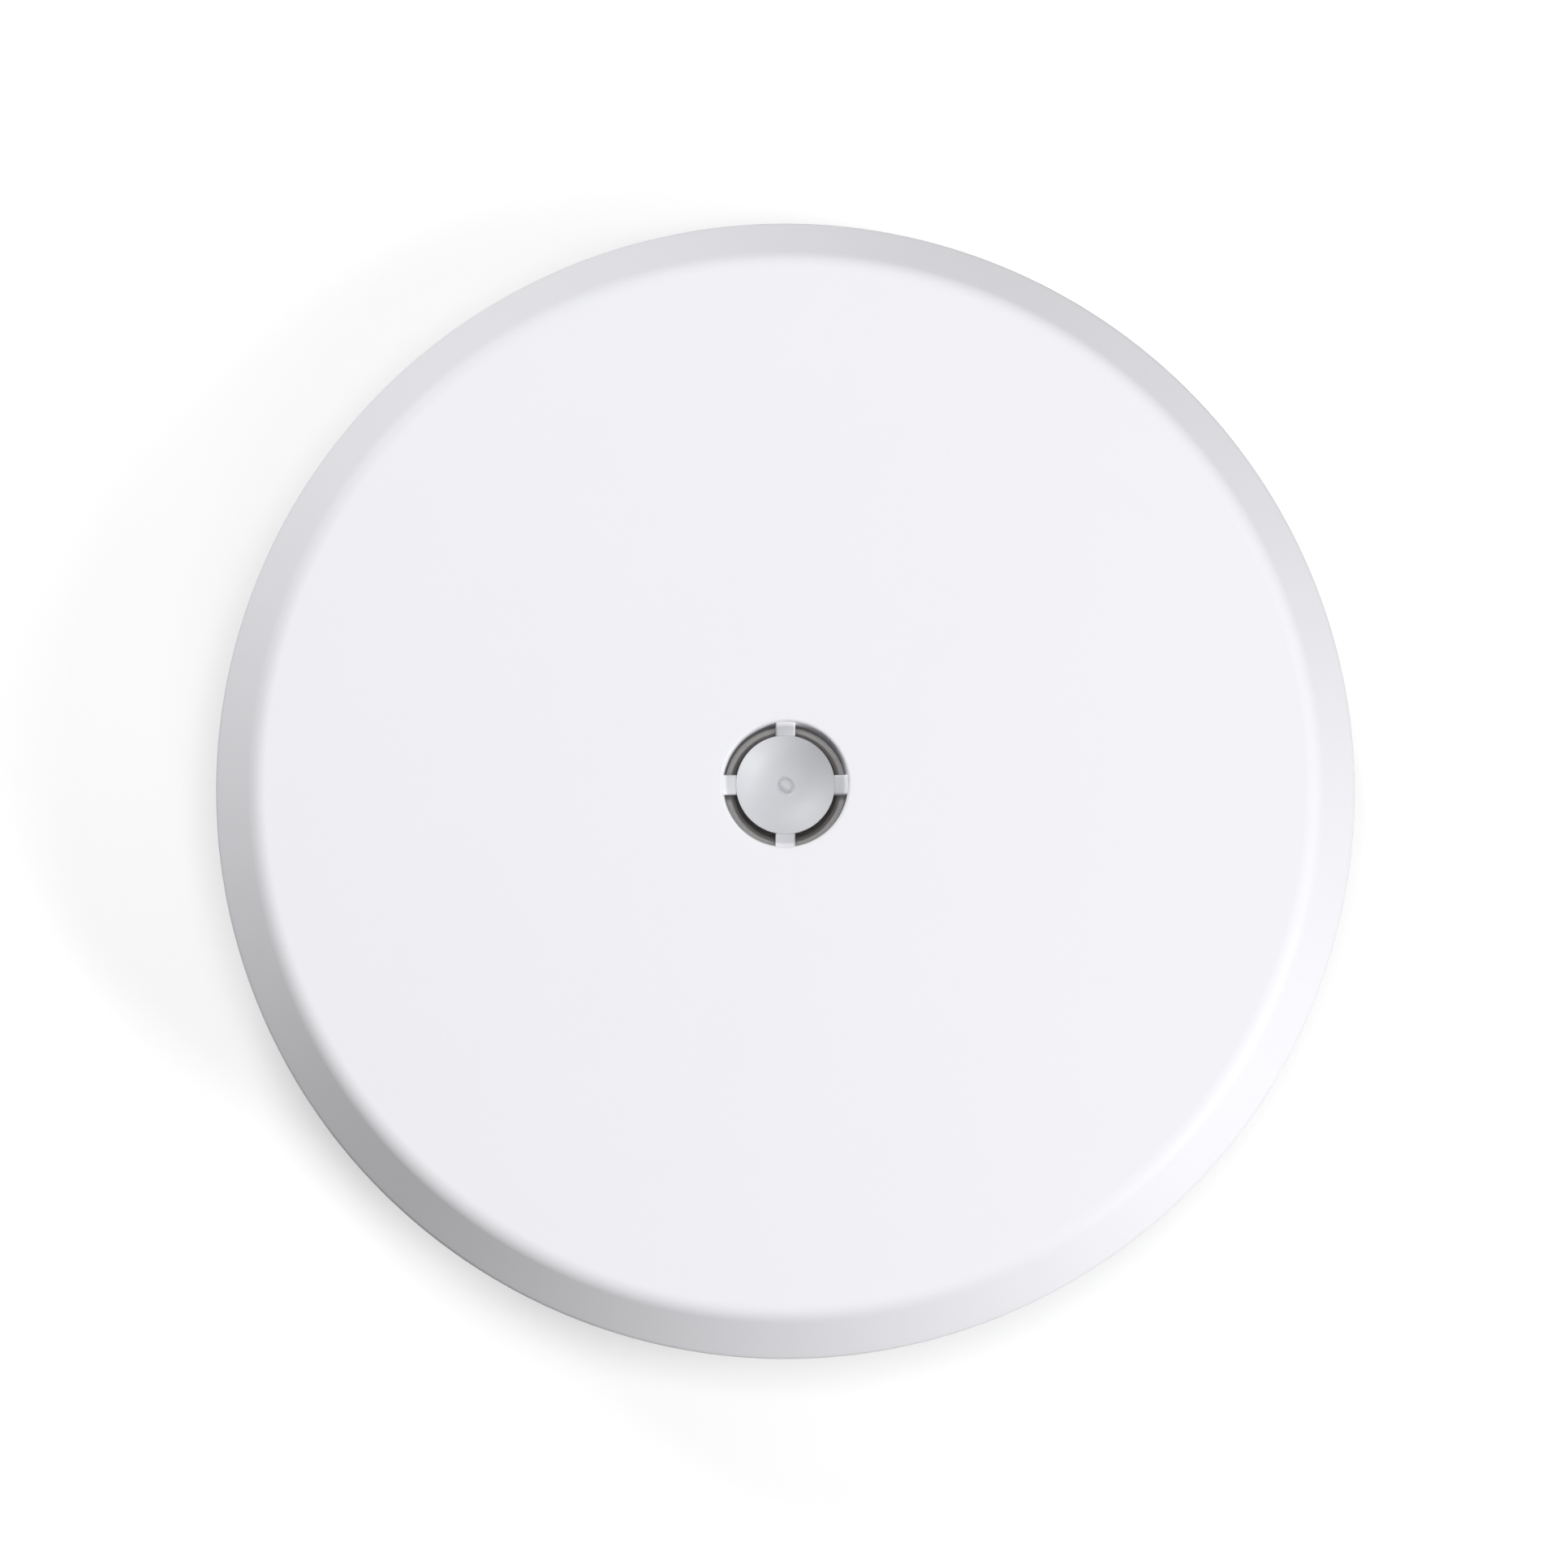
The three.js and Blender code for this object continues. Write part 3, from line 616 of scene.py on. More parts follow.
class Tree:
    """The nodes of one material."""

    def __init__(self, name: str) -> None:
        """Makes an empty material with that name.

        Args:
            name: the material's name.
        """
        self.material = bpy.data.materials.new(name)
        self.material.use_nodes = True
        self.nodes = self.material.node_tree.nodes
        self.links = self.material.node_tree.links
        self.nodes.clear()
        self.place = self.node("ShaderNodeTexCoord", {}, {}, "Object").socket

    def node(
        self, kind: str, settings: dict[str, Any], inputs: dict[Any, Any], output: Union[str, int] = 0
    ) -> Signal:
        """Adds a node.

        Args:
            kind: the node's type.
            settings: its properties, set before its inputs.
            inputs: a value, Signal or socket for each input, by name or number.
            output: which output to return.
        Returns:
            The chosen output.
        """
        made = self.nodes.new(kind)
        for name, value in settings.items():
            setattr(made, name, value)
        for name, value in inputs.items():
            target = made.inputs[name]
            if isinstance(value, Signal):
                self.links.new(value.socket, target)
            elif isinstance(value, bpy.types.NodeSocket):
                self.links.new(value, target)
            else:
                target.default_value = value
        return Signal(self, made.outputs[output])

    def axes(self) -> tuple[Signal, Signal, Signal]:
        """The X, Y and Z of a point of the piece, in metres."""
        split = self.nodes.new("ShaderNodeSeparateXYZ")
        self.links.new(self.place, split.inputs[0])
        return tuple(Signal(self, s) for s in split.outputs)

    def stretched(self, scale: tuple[float, float, float]) -> Signal:
        """The piece's place with each axis scaled."""
        return self.node("ShaderNodeMapping", {}, {"Vector": self.place, "Scale": scale})

    def radius(self) -> Signal:
        """The distance of a point from the Z axis, in metres."""
        flat = self.stretched((1, 1, 0))
        return self.node("ShaderNodeVectorMath", {"operation": "LENGTH"}, {0: flat}, "Value")

    def noise(self, size: float, detail: float = 2, rough: float = 0.5, at: Any = None) -> Signal:
        """Noise from 0 to 1 whose blotches are about size millimetres across."""
        inputs = {"Vector": at or self.place, "Scale": 1 / (size * MM), "Detail": detail, "Roughness": rough}
        return self.node("ShaderNodeTexNoise", {}, inputs)

    def cells(self, size: float) -> Signal:
        """Distance in a pattern of cells about size millimetres across."""
        inputs = {"Vector": self.place, "Scale": 1 / (size * MM)}
        return self.node("ShaderNodeTexVoronoi", {"feature": "F1"}, inputs)

    def mix(self, share: Any, first: Any, second: Any) -> Signal:
        """A colour that goes from first to second."""
        made = self.nodes.new("ShaderNodeMix")
        made.data_type = "RGBA"
        for socket, value in ((made.inputs[0], share), (made.inputs[6], first), (made.inputs[7], second)):
            if isinstance(value, Signal):
                self.links.new(value.socket, socket)
            elif isinstance(value, tuple):
                socket.default_value = (*value, 1)
            else:
                socket.default_value = value
        return Signal(self, made.outputs[2])

    def bump(self, height: Signal, depth: float) -> Signal:
        """A normal from a height of 0 to 1 that stands for depth millimetres."""
        inputs = {"Height": height, "Distance": depth * MM, "Strength": 1.0}
        return self.node("ShaderNodeBump", {}, inputs)

    def surface(self, inputs: dict[str, Any]) -> bpy.types.Material:
        """Ends the material in a Principled shader with these inputs."""
        shader = self.node("ShaderNodeBsdfPrincipled", {}, inputs)
        end = self.nodes.new("ShaderNodeOutputMaterial")
        self.links.new(shader.socket, end.inputs["Surface"])
        return self.material


def shade(colour: Colour, factor: float) -> Colour:
    """A colour made lighter or darker by a factor."""
    return tuple(min(1.0, c * factor) for c in colour)


@dataclass(frozen=True)
class MouldedPlastic(Finish):
    """Plastic from a mould: fine spark-eroded grain, faint flow clouds and slightly uneven gloss.

    Attributes:
        roughness: middle roughness.
        grain: size of the grain in millimetres.
        depth: height of the grain in millimetres.
        clouds: how far the colour varies, as a share.
        coat: strength of a clear gloss over it.
        port: radius about the Z axis inside which the colour gives way to a darker painted shade of the
            recessed port, and that shade's colour, or None.
    """

    roughness: float = 0.45
    grain: float = 0.25
    depth: float = 0.006
    clouds: float = 0.012
    coat: float = 0.0
    port: Optional[tuple[float, Colour]] = None

    def material(self) -> bpy.types.Material:
        """Clouds drive the colour and gloss, grain the normal, and a darker painted shade fades in inside the
        port's radius.
        """
        tree = Tree(self.name)
        cloud = tree.noise(14, 3, 0.55)
        speck = tree.noise(self.grain * 3, 2)
        dark, pale = shade(self.colour, 1 - self.clouds), shade(self.colour, 1 + self.clouds)
        colour = tree.mix(cloud * 0.7 + speck * 0.3, dark, pale)
        # Inside the port's radius the colour is a darker grey, painted as the shade in the recessed funnel
        # and bridges
        if self.port:
            radius, painted_shade = self.port
            outside = tree.radius().between((radius - 0.3) * MM, (radius + 0.3) * MM)
            colour = tree.mix(outside, painted_shade, colour)
        gloss = tree.noise(3, 4, 0.6) * 0.08 + (self.roughness - 0.04)
        grain = tree.noise(self.grain, 3, 0.6)
        return tree.surface({
            "Base Color": colour,
            "Roughness": gloss,
            "Normal": tree.bump(grain, self.depth),
            "Coat Weight": self.coat,
            "IOR": 1.49,
        })


@dataclass(frozen=True)
class PowderCoat(Finish):
    """Baked paint on a casting: a soft orange-peel skin with fine specks.

    Attributes:
        roughness: middle roughness.
    """

    roughness: float = 0.5

    def material(self) -> bpy.types.Material:
        """Two sizes of noise make the peel, and a third the specks."""
        tree = Tree(self.name)
        peel = tree.noise(1.4, 2, 0.4) * 0.7 + tree.noise(0.45, 2, 0.5) * 0.3
        speck = tree.noise(0.2, 1).between(0.62, 0.72)
        colour = tree.mix(speck * 0.25 + tree.noise(20, 2) * 0.4, self.colour, shade(self.colour, 0.95))
        return tree.surface({
            "Base Color": colour,
            "Roughness": tree.noise(5, 3) * 0.1 + (self.roughness - 0.05),
            "Normal": tree.bump(peel, 0.02),
            "IOR": 1.5,
        })


@dataclass(frozen=True)
class PlatedSteel(Finish):
    """Metal with a plated skin: crystals or fine rolling lines, and handling marks.

    Attributes:
        roughness: middle roughness.
        crystal: size of the plating's crystals in millimetres, or 0 for none.
        lines: spacing of the rolling lines in millimetres, or 0 for none.
    """

    roughness: float = 0.32
    crystal: float = 0.0
    lines: float = 0.0

    def material(self) -> bpy.types.Material:
        """Crystals and lines vary the colour, the gloss and the normal."""
        tree = Tree(self.name)
        smudge = tree.noise(9, 4, 0.6)
        tone = smudge * 0.6 + tree.noise(1.5, 3) * 0.4
        height = tree.noise(0.6, 2)
        if self.crystal:
            patch = tree.cells(self.crystal)
            tone = tone * 0.5 + patch * 0.5
            height = patch * 0.6 + height * 0.4
        if self.lines:
            across = tree.stretched((0.02, 1, 0.02))
            streak = tree.noise(self.lines, 2, 0.6, across)
            tone = tone * 0.6 + streak * 0.4
            height = streak
        return tree.surface({
            "Base Color": tree.mix(tone, shade(self.colour, 0.82), shade(self.colour, 1.08)),
            "Metallic": 1.0,
            "Roughness": tone * 0.2 + (self.roughness - 0.1),
            "Normal": tree.bump(height, 0.004),
        })


@dataclass(frozen=True)
class SolderMask(Finish):
    """A circuit board: green mask over copper tracks, fine vias and pads.

    Attributes:
        pitch: spacing of the tracks in millimetres.
    """

    pitch: float = 1.3

    def material(self) -> bpy.types.Material:
        """Tracks run along X or Y by patches, and small dots stand for vias."""
        tree = Tree(self.name)
        x, y, _ = tree.axes()
        step = 1 / (self.pitch * MM)
        along = ((x * step).fraction() - 0.5).magnitude() < 0.2
        across = ((y * step).fraction() - 0.5).magnitude() < 0.2
        patch = tree.cells(9) > 0.5
        tracks = along * patch + across * (1 - patch)
        masked = tree.noise(11, 2) > 0.5
        copper = tracks * masked
        via = tree.cells(2.1) < 0.16
        green = tree.mix(copper, self.colour, shade(self.colour, 1.7))
        return tree.surface({
            "Base Color": tree.mix(via * masked, green, (0.75, 0.62, 0.3)),
            "Roughness": tree.noise(4, 2) * 0.1 + 0.35,
            "Normal": tree.bump(copper, 0.03),
        })


@dataclass(frozen=True)
class Foam(Finish):
    """Closed-cell foam or filled rubber: small cells and a dull skin.

    Attributes:
        cell: size of the cells in millimetres.
        depth: depth of the cells in millimetres.
    """

    cell: float = 0.3
    depth: float = 0.03

    def material(self) -> bpy.types.Material:
        """Cells pit the surface, and the colour is darker in the pits as painted shade."""
        tree = Tree(self.name)
        pit_with_shade = tree.cells(self.cell)
        return tree.surface({
            # The colour is darker where the cells are deepest, as painted shade in the pits
            "Base Color": tree.mix(pit_with_shade, shade(self.colour, 0.7), shade(self.colour, 1.2)),
            "Roughness": tree.noise(2, 2) * 0.1 + 0.82,
            "Normal": tree.bump(pit_with_shade, self.depth),
        })


@dataclass(frozen=True)
class ClearLens(Finish):
    """The epoxy lens of a small light, tinted by the phosphor under it."""

    def material(self) -> bpy.types.Material:
        """A glossy coat over a colour that clouds a little."""
        tree = Tree(self.name)
        colour = tree.mix(tree.noise(0.8, 2), shade(self.colour, 0.85), self.colour)
        return tree.surface(
            {"Base Color": colour, "Roughness": tree.noise(1, 2) * 0.05 + 0.1, "Coat Weight": 0.6, "IOR": 1.5}
        )


# Radius of the port, and the darker colour painted inside it as shade in the recess
PORT_PAINTED_SHADE = (8.3, (0.585, 0.59, 0.615))
COVER_PLASTIC = MouldedPlastic("cover plastic", (0.80, 0.80, 0.83), 0.55, 0.3, 0.004, 0.008, port=PORT_PAINTED_SHADE)
BASE_PAINT = PowderCoat("base powder coat", (0.72, 0.73, 0.74))
ZINC = PlatedSteel("zinc plate", (0.70, 0.72, 0.74), 0.38, crystal=4.5)
SPRING_STEEL = PlatedSteel("spring steel", (0.52, 0.53, 0.55), 0.3, lines=0.15)
NICKEL = PlatedSteel("nickel plate", (0.66, 0.65, 0.62), 0.26)
TIN = PlatedSteel("drawn tin plate", (0.74, 0.75, 0.75), 0.3, lines=0.25)
BRASS = PlatedSteel("tinned brass", (0.78, 0.70, 0.50), 0.3, lines=0.2)
GOLD = PlatedSteel("gold flash", (0.90, 0.70, 0.32), 0.22)
MASK = SolderMask("solder mask", (0.02, 0.13, 0.06))
PACKAGE = MouldedPlastic("chip package", (0.035, 0.035, 0.04), 0.6, grain=0.08, depth=0.004, clouds=0.15)
JACK_PLASTIC = MouldedPlastic("jack plastic", (0.02, 0.02, 0.022), 0.42, grain=0.15, depth=0.004, clouds=0.1)
FERRITE = MouldedPlastic("ferrite", (0.05, 0.05, 0.052), 0.68, grain=0.12, depth=0.01, clouds=0.2)
SLEEVE = MouldedPlastic("capacitor sleeve", (0.02, 0.025, 0.05), 0.25, grain=0.6, depth=0.003, coat=0.4)
# A white cup given a dark grey, painted as the shade seen through the port's slots; the light's case shares
# it
CUP_PAINTED_SHADE = MouldedPlastic("cup plastic", (0.38, 0.36, 0.35), 0.36, grain=0.5, depth=0.002, coat=0.3)
BUTTON = MouldedPlastic("button plastic", (0.09, 0.095, 0.10), 0.5, grain=0.15)
PAD = Foam("cooling pad", (0.30, 0.36, 0.44), cell=0.18, depth=0.01)
# Warm grey painted as the shade seen inside the port's slots
GASKET_PAINTED_SHADE = Foam("gasket foam", (0.30, 0.28, 0.27))
LENS = ClearLens("light lens", (0.90, 0.86, 0.60))
COPPER_WIRE = PlatedSteel("enamelled copper", (0.72, 0.32, 0.14), 0.3)


# ------------------------------------------------------------------ sub-assemblies


@dataclass
class Cover:
    """The white moulding: crowned face, fillet, bevel, rim, and the port at its centre.

    Attributes:
        extent: the CAD cover's box, which sets the diameter and the top.
        depth: from the face's peak to the rim's lower edge.
        wall: thickness of the moulding.
        bevel_angle: slope of the bevel in degrees.
        face_radius: where the face ends and the fillet starts.
        crown: how far the face rises from there to its middle.
        fillet: radius between face and bevel.
        rim_edge: rounding of the rim's upper edge.
        bore: radius of the port's bore below its lip.
        lip: radius of the lip.
        bore_end: radius and height of the bore's lower end.
        tube: outer radius of the tube that carries the bore.
        funnel: radius of the funnel.
        funnel_drop: from the face's top to the funnel's rim.
        funnel_depth: from the funnel's rim to its bottom.
        funnel_wall: thickness of the funnel.
        bridge_width: width of each bridge.
        bowl_power: how sharply the funnel's front curves.
        mound: height and radius of the gate mark's mound.
        groove: depth, radius and width of the ring groove round it.
        stretch: the gate mark's length along and across a diagonal, as shares of a round one.
        bridge_dip: from the funnel's rim down to a bridge's inner end.
        bridge_rise: what s and s^4 add to a bridge's height.
        bridge_edge: rounding of a bridge's long edges.
        post: radius of a screw post.
        pilot: radius and top of the hole in a post.
    """

    extent: Extent
    depth: float = 11.4
    wall: float = 2.2
    bevel_angle: float = 49
    face_radius: float = 72.6
    crown: float = 0.5
    fillet: float = 3.5
    rim_edge: float = 0.55
    bore: float = 8.8
    lip: float = 0.4
    bore_end: Point = (8.5, 26.6)
    tube: float = 9.9
    funnel: float = 6.9
    funnel_drop: float = 1.6
    funnel_depth: float = 2.8
    funnel_wall: float = 1.4
    bridge_width: float = 2.75
    bowl_power: float = 2.4
    mound: Point = (0.3, 0.5)
    groove: tuple[float, ...] = (0.34, 0.95, 0.24)
    stretch: Point = (1.12, 0.92)
    bridge_dip: float = 0.1
    bridge_rise: Point = (0.62, 0.3)
    bridge_edge: float = 0.28
    post: float = 3
    pilot: Point = (1.3, 19)

    @property
    def peak(self) -> float:
        """Height that the crowned face would have on the axis."""
        return self.extent.high[2] + self.crown * ((self.bore + self.lip) / self.face_radius) ** 2

    @property
    def funnel_rim(self) -> float:
        """Height of the funnel's rim."""
        return self.peak - self.funnel_drop

    def face(self, r: np.ndarray) -> np.ndarray:
        """The face's height: peak - crown (r / face radius)^2."""
        return self.peak - self.crown * (r / self.face_radius) ** 2

    def shell(self) -> Surface:
        """Bore, lip, face, fillet, bevel and rim, then back along the inside, turned about the axis."""
        rim_radius, rim_bottom = self.extent.size[0] / 2, self.peak - self.depth
        slope = math.degrees(math.atan(2 * self.crown / self.face_radius))
        edge = self.face(self.face_radius)
        centre_r = self.face_radius - self.fillet * math.sin(math.radians(slope))
        centre_z = edge - self.fillet * math.cos(math.radians(slope))
        fillet = arc(centre_r, centre_z, self.fillet, 90 - slope, 90 - self.bevel_angle, 18)
        bevel_r, bevel_z = fillet[-1]
        rim_top = bevel_z - (rim_radius - bevel_r) * math.tan(math.radians(self.bevel_angle))
        lip_r = self.bore + self.lip
        lip = arc(lip_r, self.face(lip_r) - self.lip, self.lip, 180, 90, 14)
        bore = line(self.bore_end, tuple(lip[0]), 6)[:-1]
        r = np.linspace(lip_r, self.face_radius, 40)[1:-1]
        face = np.stack([r, self.face(r)], -1)
        bevel = line((bevel_r, bevel_z), (rim_radius, rim_top), 5)[1:-1]
        inner_rim = rim_radius - self.wall
        edges = rounded([
            (*bevel[-1], 0), (rim_radius, rim_top, self.rim_edge), (rim_radius, rim_bottom, 0.25),
            (inner_rim, rim_bottom, 0.25), (inner_rim, rim_top - 0.8, 1.2),
            (bevel_r - 1, bevel_z - self.wall, 1.5), (self.face_radius - 1, edge - self.wall, 0),
        ])
        r = np.linspace(self.face_radius - 1, self.tube + 1, 14)[1:]
        inside = np.stack([r, self.face(r) - self.wall], -1)
        root = self.face(self.tube) - self.wall
        foot = (self.tube - 0.3, self.bore_end[1], 0.2)
        tube = rounded([(*inside[-1], 0), (self.tube, root, 0.6), foot, (*self.bore_end, 0)])
        profile = np.concatenate([bore, lip, face, fillet, bevel[:-1], edges, inside, tube[1:-1]])
        return turned(profile, 256)

    def bowl(self, r: np.ndarray) -> np.ndarray:
        """The funnel's height: rim - depth (1 - (r / funnel radius)^power)."""
        return self.funnel_rim - self.funnel_depth * (1 - (r / self.funnel) ** self.bowl_power)

    def funnel_disc(self) -> Surface:
        """The funnel and its gate mark on a polar grid.

        The front is rim - depth (1 - (r / R)^power). The gate mark adds a small mound in a ring groove, both
        stretched along one diagonal: height exp(-(d / radius)^2) for the mound, less
        depth exp(-((d - radius) / width)^2) for the groove.
        """
        rim, steps = self.funnel_rim, 128
        front = np.concatenate([np.linspace(0.06, 1.8, 22), np.linspace(2.1, self.funnel - 0.12, 20)])
        x, y, _ = np.moveaxis(spun(front, front, steps), -1, 0)
        bowl = self.bowl(np.hypot(x, y))
        along, across = (x - y) / math.sqrt(2), (x + y) / math.sqrt(2)
        d = np.hypot(along / self.stretch[0], across / self.stretch[1])
        mound, radius = self.mound
        groove, middle, width = self.groove
        mark = mound * np.exp(-((d / radius) ** 2)) - groove * np.exp(-(((d - middle) / width) ** 2))
        top = np.stack([x, y, bowl + mark], -1)
        edge = rounded([
            (self.funnel - 0.12, bowl[-1, 0], 0), (self.funnel, rim + 0.01, 0.1),
            (self.funnel, rim - self.funnel_wall, 0.3),
            (self.funnel - 0.8, rim - self.funnel_wall - 0.45, 0),
        ], 4)[1:]
        r = np.linspace(self.funnel - 1.2, 0.4, 10)
        back = np.stack([r, self.bowl(r) - self.funnel_wall], -1)
        lower = np.concatenate([edge, back])
        grid = np.concatenate([top, spun(*lower.T, steps)])[::-1]
        tip = rim - self.funnel_depth
        return woven(grid, np.array([0, 0, tip - self.funnel_wall]), np.array([0, 0, tip + mound]))

    def bridge(self, degrees: float) -> Surface:
        """One bridge from the funnel's wall into the lip.

        With s going from 0 at the funnel's rim to 1 at the lip, the top is rim - dip + rise s + rise s^4,
        with its own rise for each power, and its two long edges are rounded.
        """
        rim, half, edge = self.funnel_rim, self.bridge_width / 2, self.bridge_edge
        r = np.concatenate([[self.funnel - 0.35], np.linspace(self.funnel - 0.06, self.bore + 0.75, 22)])
        s = (r - self.funnel) / (self.bore + 0.3 - self.funnel)
        top = rim - self.bridge_dip + self.bridge_rise[0] * s + self.bridge_rise[1] * np.maximum(s, 0) ** 4
        top[0] = rim - 0.7
        a = np.linspace(0, TAU / 4, 6)
        side = np.concatenate([[half - 0.1, half], half - edge + edge * np.cos(a)])
        rise = np.concatenate([[0, 0.1], 1 + np.sin(a)])
        across = np.concatenate([side, -side[::-1]])
        rise = np.concatenate([rise, rise[::-1]])
        bottom = rim - 1.7
        low = bottom + 0.12 * rise
        high = top[:, None] - edge + edge * (rise[None] - 1)
        z = np.where(rise[None] < 0.5, low[None], high)
        grid = np.stack(np.broadcast_arrays(r[:, None], across[None], z), -1)
        ends = [np.array([r[i], 0, (bottom + top[i]) / 2]) for i in (0, -1)]
        return woven(grid, *ends).turned_by(degrees)

    def build(self) -> None:
        """Joins the shell, funnel, bridges and posts, drills the posts and dresses the piece."""
        cover = loose_object("cover", self.shell())
        carve(cover, [self.funnel_disc()], Cut.JOIN)
        carve(cover, [self.bridge(90 * i) for i in range(4)], Cut.JOIN)
        centres = HOUSING_SCREWS.places()
        top = self.face(HOUSING_SCREWS.orbit) - self.wall + 0.5
        foot = self.extent.low[2]
        carve(cover, [pin(*c, self.post, foot, top) for c in centres], Cut.JOIN)
        carve(cover, [pin(*c, self.pilot[0], foot - 1, self.pilot[1]) for c in centres], Cut.REMOVE)
        piece("cover", cover, COVER_PLASTIC, replaces=["front_cover"], smooth=32)


@dataclass(frozen=True)
class Softbox:
    """A square studio light aimed at the object.

    Attributes:
        azimuth: direction that it stands in, in degrees from +X.
        elevation: its height above the floor, in degrees.
        power: watts.
        side: length of its sides in metres.
        distance: metres from the object.
    """

    azimuth: float
    elevation: float
    power: float
    side: float = 0.4
    distance: float = 1.2

    def build(self, number: int) -> None:
        """Makes the light and points it at the object."""
        light = bpy.data.lights.new(f"softbox_{number}", "AREA")
        light.shape, light.size, light.energy = "SQUARE", self.side, self.power
        obj = bpy.data.objects.new(light.name, light)
        flat = polar(math.cos(math.radians(self.elevation)), self.azimuth)
        direction = Vector((*flat, math.sin(math.radians(self.elevation))))
        obj.location = direction * self.distance
        obj.rotation_mode = "QUATERNION"
        obj.rotation_quaternion = direction.to_track_quat("Z", "Y")
        bpy.context.scene.collection.objects.link(obj)


@dataclass
class Studio:
    """White floor, softboxes, pale surroundings and the camera.

    Attributes:
        extent: the cover's box, which the framing follows.
        rim_share: the rim's diameter as a share of the frame's width.
        offset: how far the rim's centre is right of and below the frame's centre, as shares of its width.
        tilt: how far the camera leans back from straight above, in degrees.
        distance: camera distance in metres.
        rim_drop: from the cover's top to the middle of its rim.
        surroundings: strength of the even light from all round.
        glow: light that the table gives off through its top.
        lights: the softboxes round the table.
    """

    extent: Extent
    rim_share: float = 0.7254
    offset: Point = (0.0009, 0.0030)
    tilt: float = 4.5
    distance: float = 1.1
    rim_drop: float = 8.9
    surroundings: float = 0.02
    glow: float = 0.23
    lights: tuple[Softbox, ...] = (
        Softbox(327, 24, 10.0),
        Softbox(350, 40, 2.6),
        Softbox(135, 27, 5.0),
        Softbox(113, 40, 4.6),
        Softbox(190, 50, 0.5),
        Softbox(280, 50, 1.0),
        Softbox(0, 88, 3.6),
    )

    def camera(self) -> None:
        """Looks down on the rim's middle from a little towards -Y, framed by the rim's diameter."""
        data = bpy.data.cameras.new("camera")
        width = self.extent.size[0] * MM / self.rim_share
        data.lens = data.sensor_width * self.distance / width
        data.clip_start, data.clip_end = 0.01, 100
        obj = bpy.data.objects.new("camera", data)
        tilt = math.radians(self.tilt)
        back = Vector((0, -math.sin(tilt), math.cos(tilt)))
        up = Vector((0, math.cos(tilt), math.sin(tilt)))
        rim = Vector((0, 0, (self.extent.high[2] - self.rim_drop) * MM))
        target = rim - Vector((self.offset[0] * width, 0, 0)) + up * self.offset[1] * width
        obj.location = target + back * self.distance
        obj.rotation_mode = "QUATERNION"
        obj.rotation_quaternion = back.to_track_quat("Z", "Y")
        bpy.context.scene.collection.objects.link(obj)
        bpy.context.scene.camera = obj

    def floor(self) -> None:
        """A wide white table top, lit through from below, that throws no light back onto the object."""
        half, low = 9000.0, CAD_BOX[0][2] / MM
        corners = np.array([[-half, -half], [half, -half], [half, half], [-half, half]])
        mesh = bpy.data.meshes.new("floor")
        mesh.from_pydata([(x * MM, y * MM, low * MM) for x, y in corners], [], [(0, 1, 2, 3)])
        tree = Tree("white paper")
        paper = tree.mix(tree.noise(40, 2), (0.95, 0.95, 0.95), (0.97, 0.97, 0.97))
        inputs = {"Base Color": paper, "Roughness": 0.9, "Specular IOR Level": 0.0}
        inputs |= {"Emission Color": (1.0, 1.0, 1.0, 1.0), "Emission Strength": self.glow}
        mesh.materials.append(tree.surface(inputs))
        floor = bpy.data.objects.new("floor", mesh)
        floor.visible_diffuse = False
        bpy.context.scene.collection.objects.link(floor)

    def build(self) -> None:
        """Makes the camera, floor, lights and surroundings."""
        self.camera()
        self.floor()
        for number, light in enumerate(self.lights):
            light.build(number)
        world = bpy.data.worlds.new("surroundings")
        world.use_nodes = True
        background = world.node_tree.nodes["Background"]
        background.inputs["Color"].default_value = (0.97, 0.98, 1.0, 1)
        background.inputs["Strength"].default_value = self.surroundings
        scene = bpy.context.scene
        scene.world = world
        scene.view_settings.view_transform = "Standard"


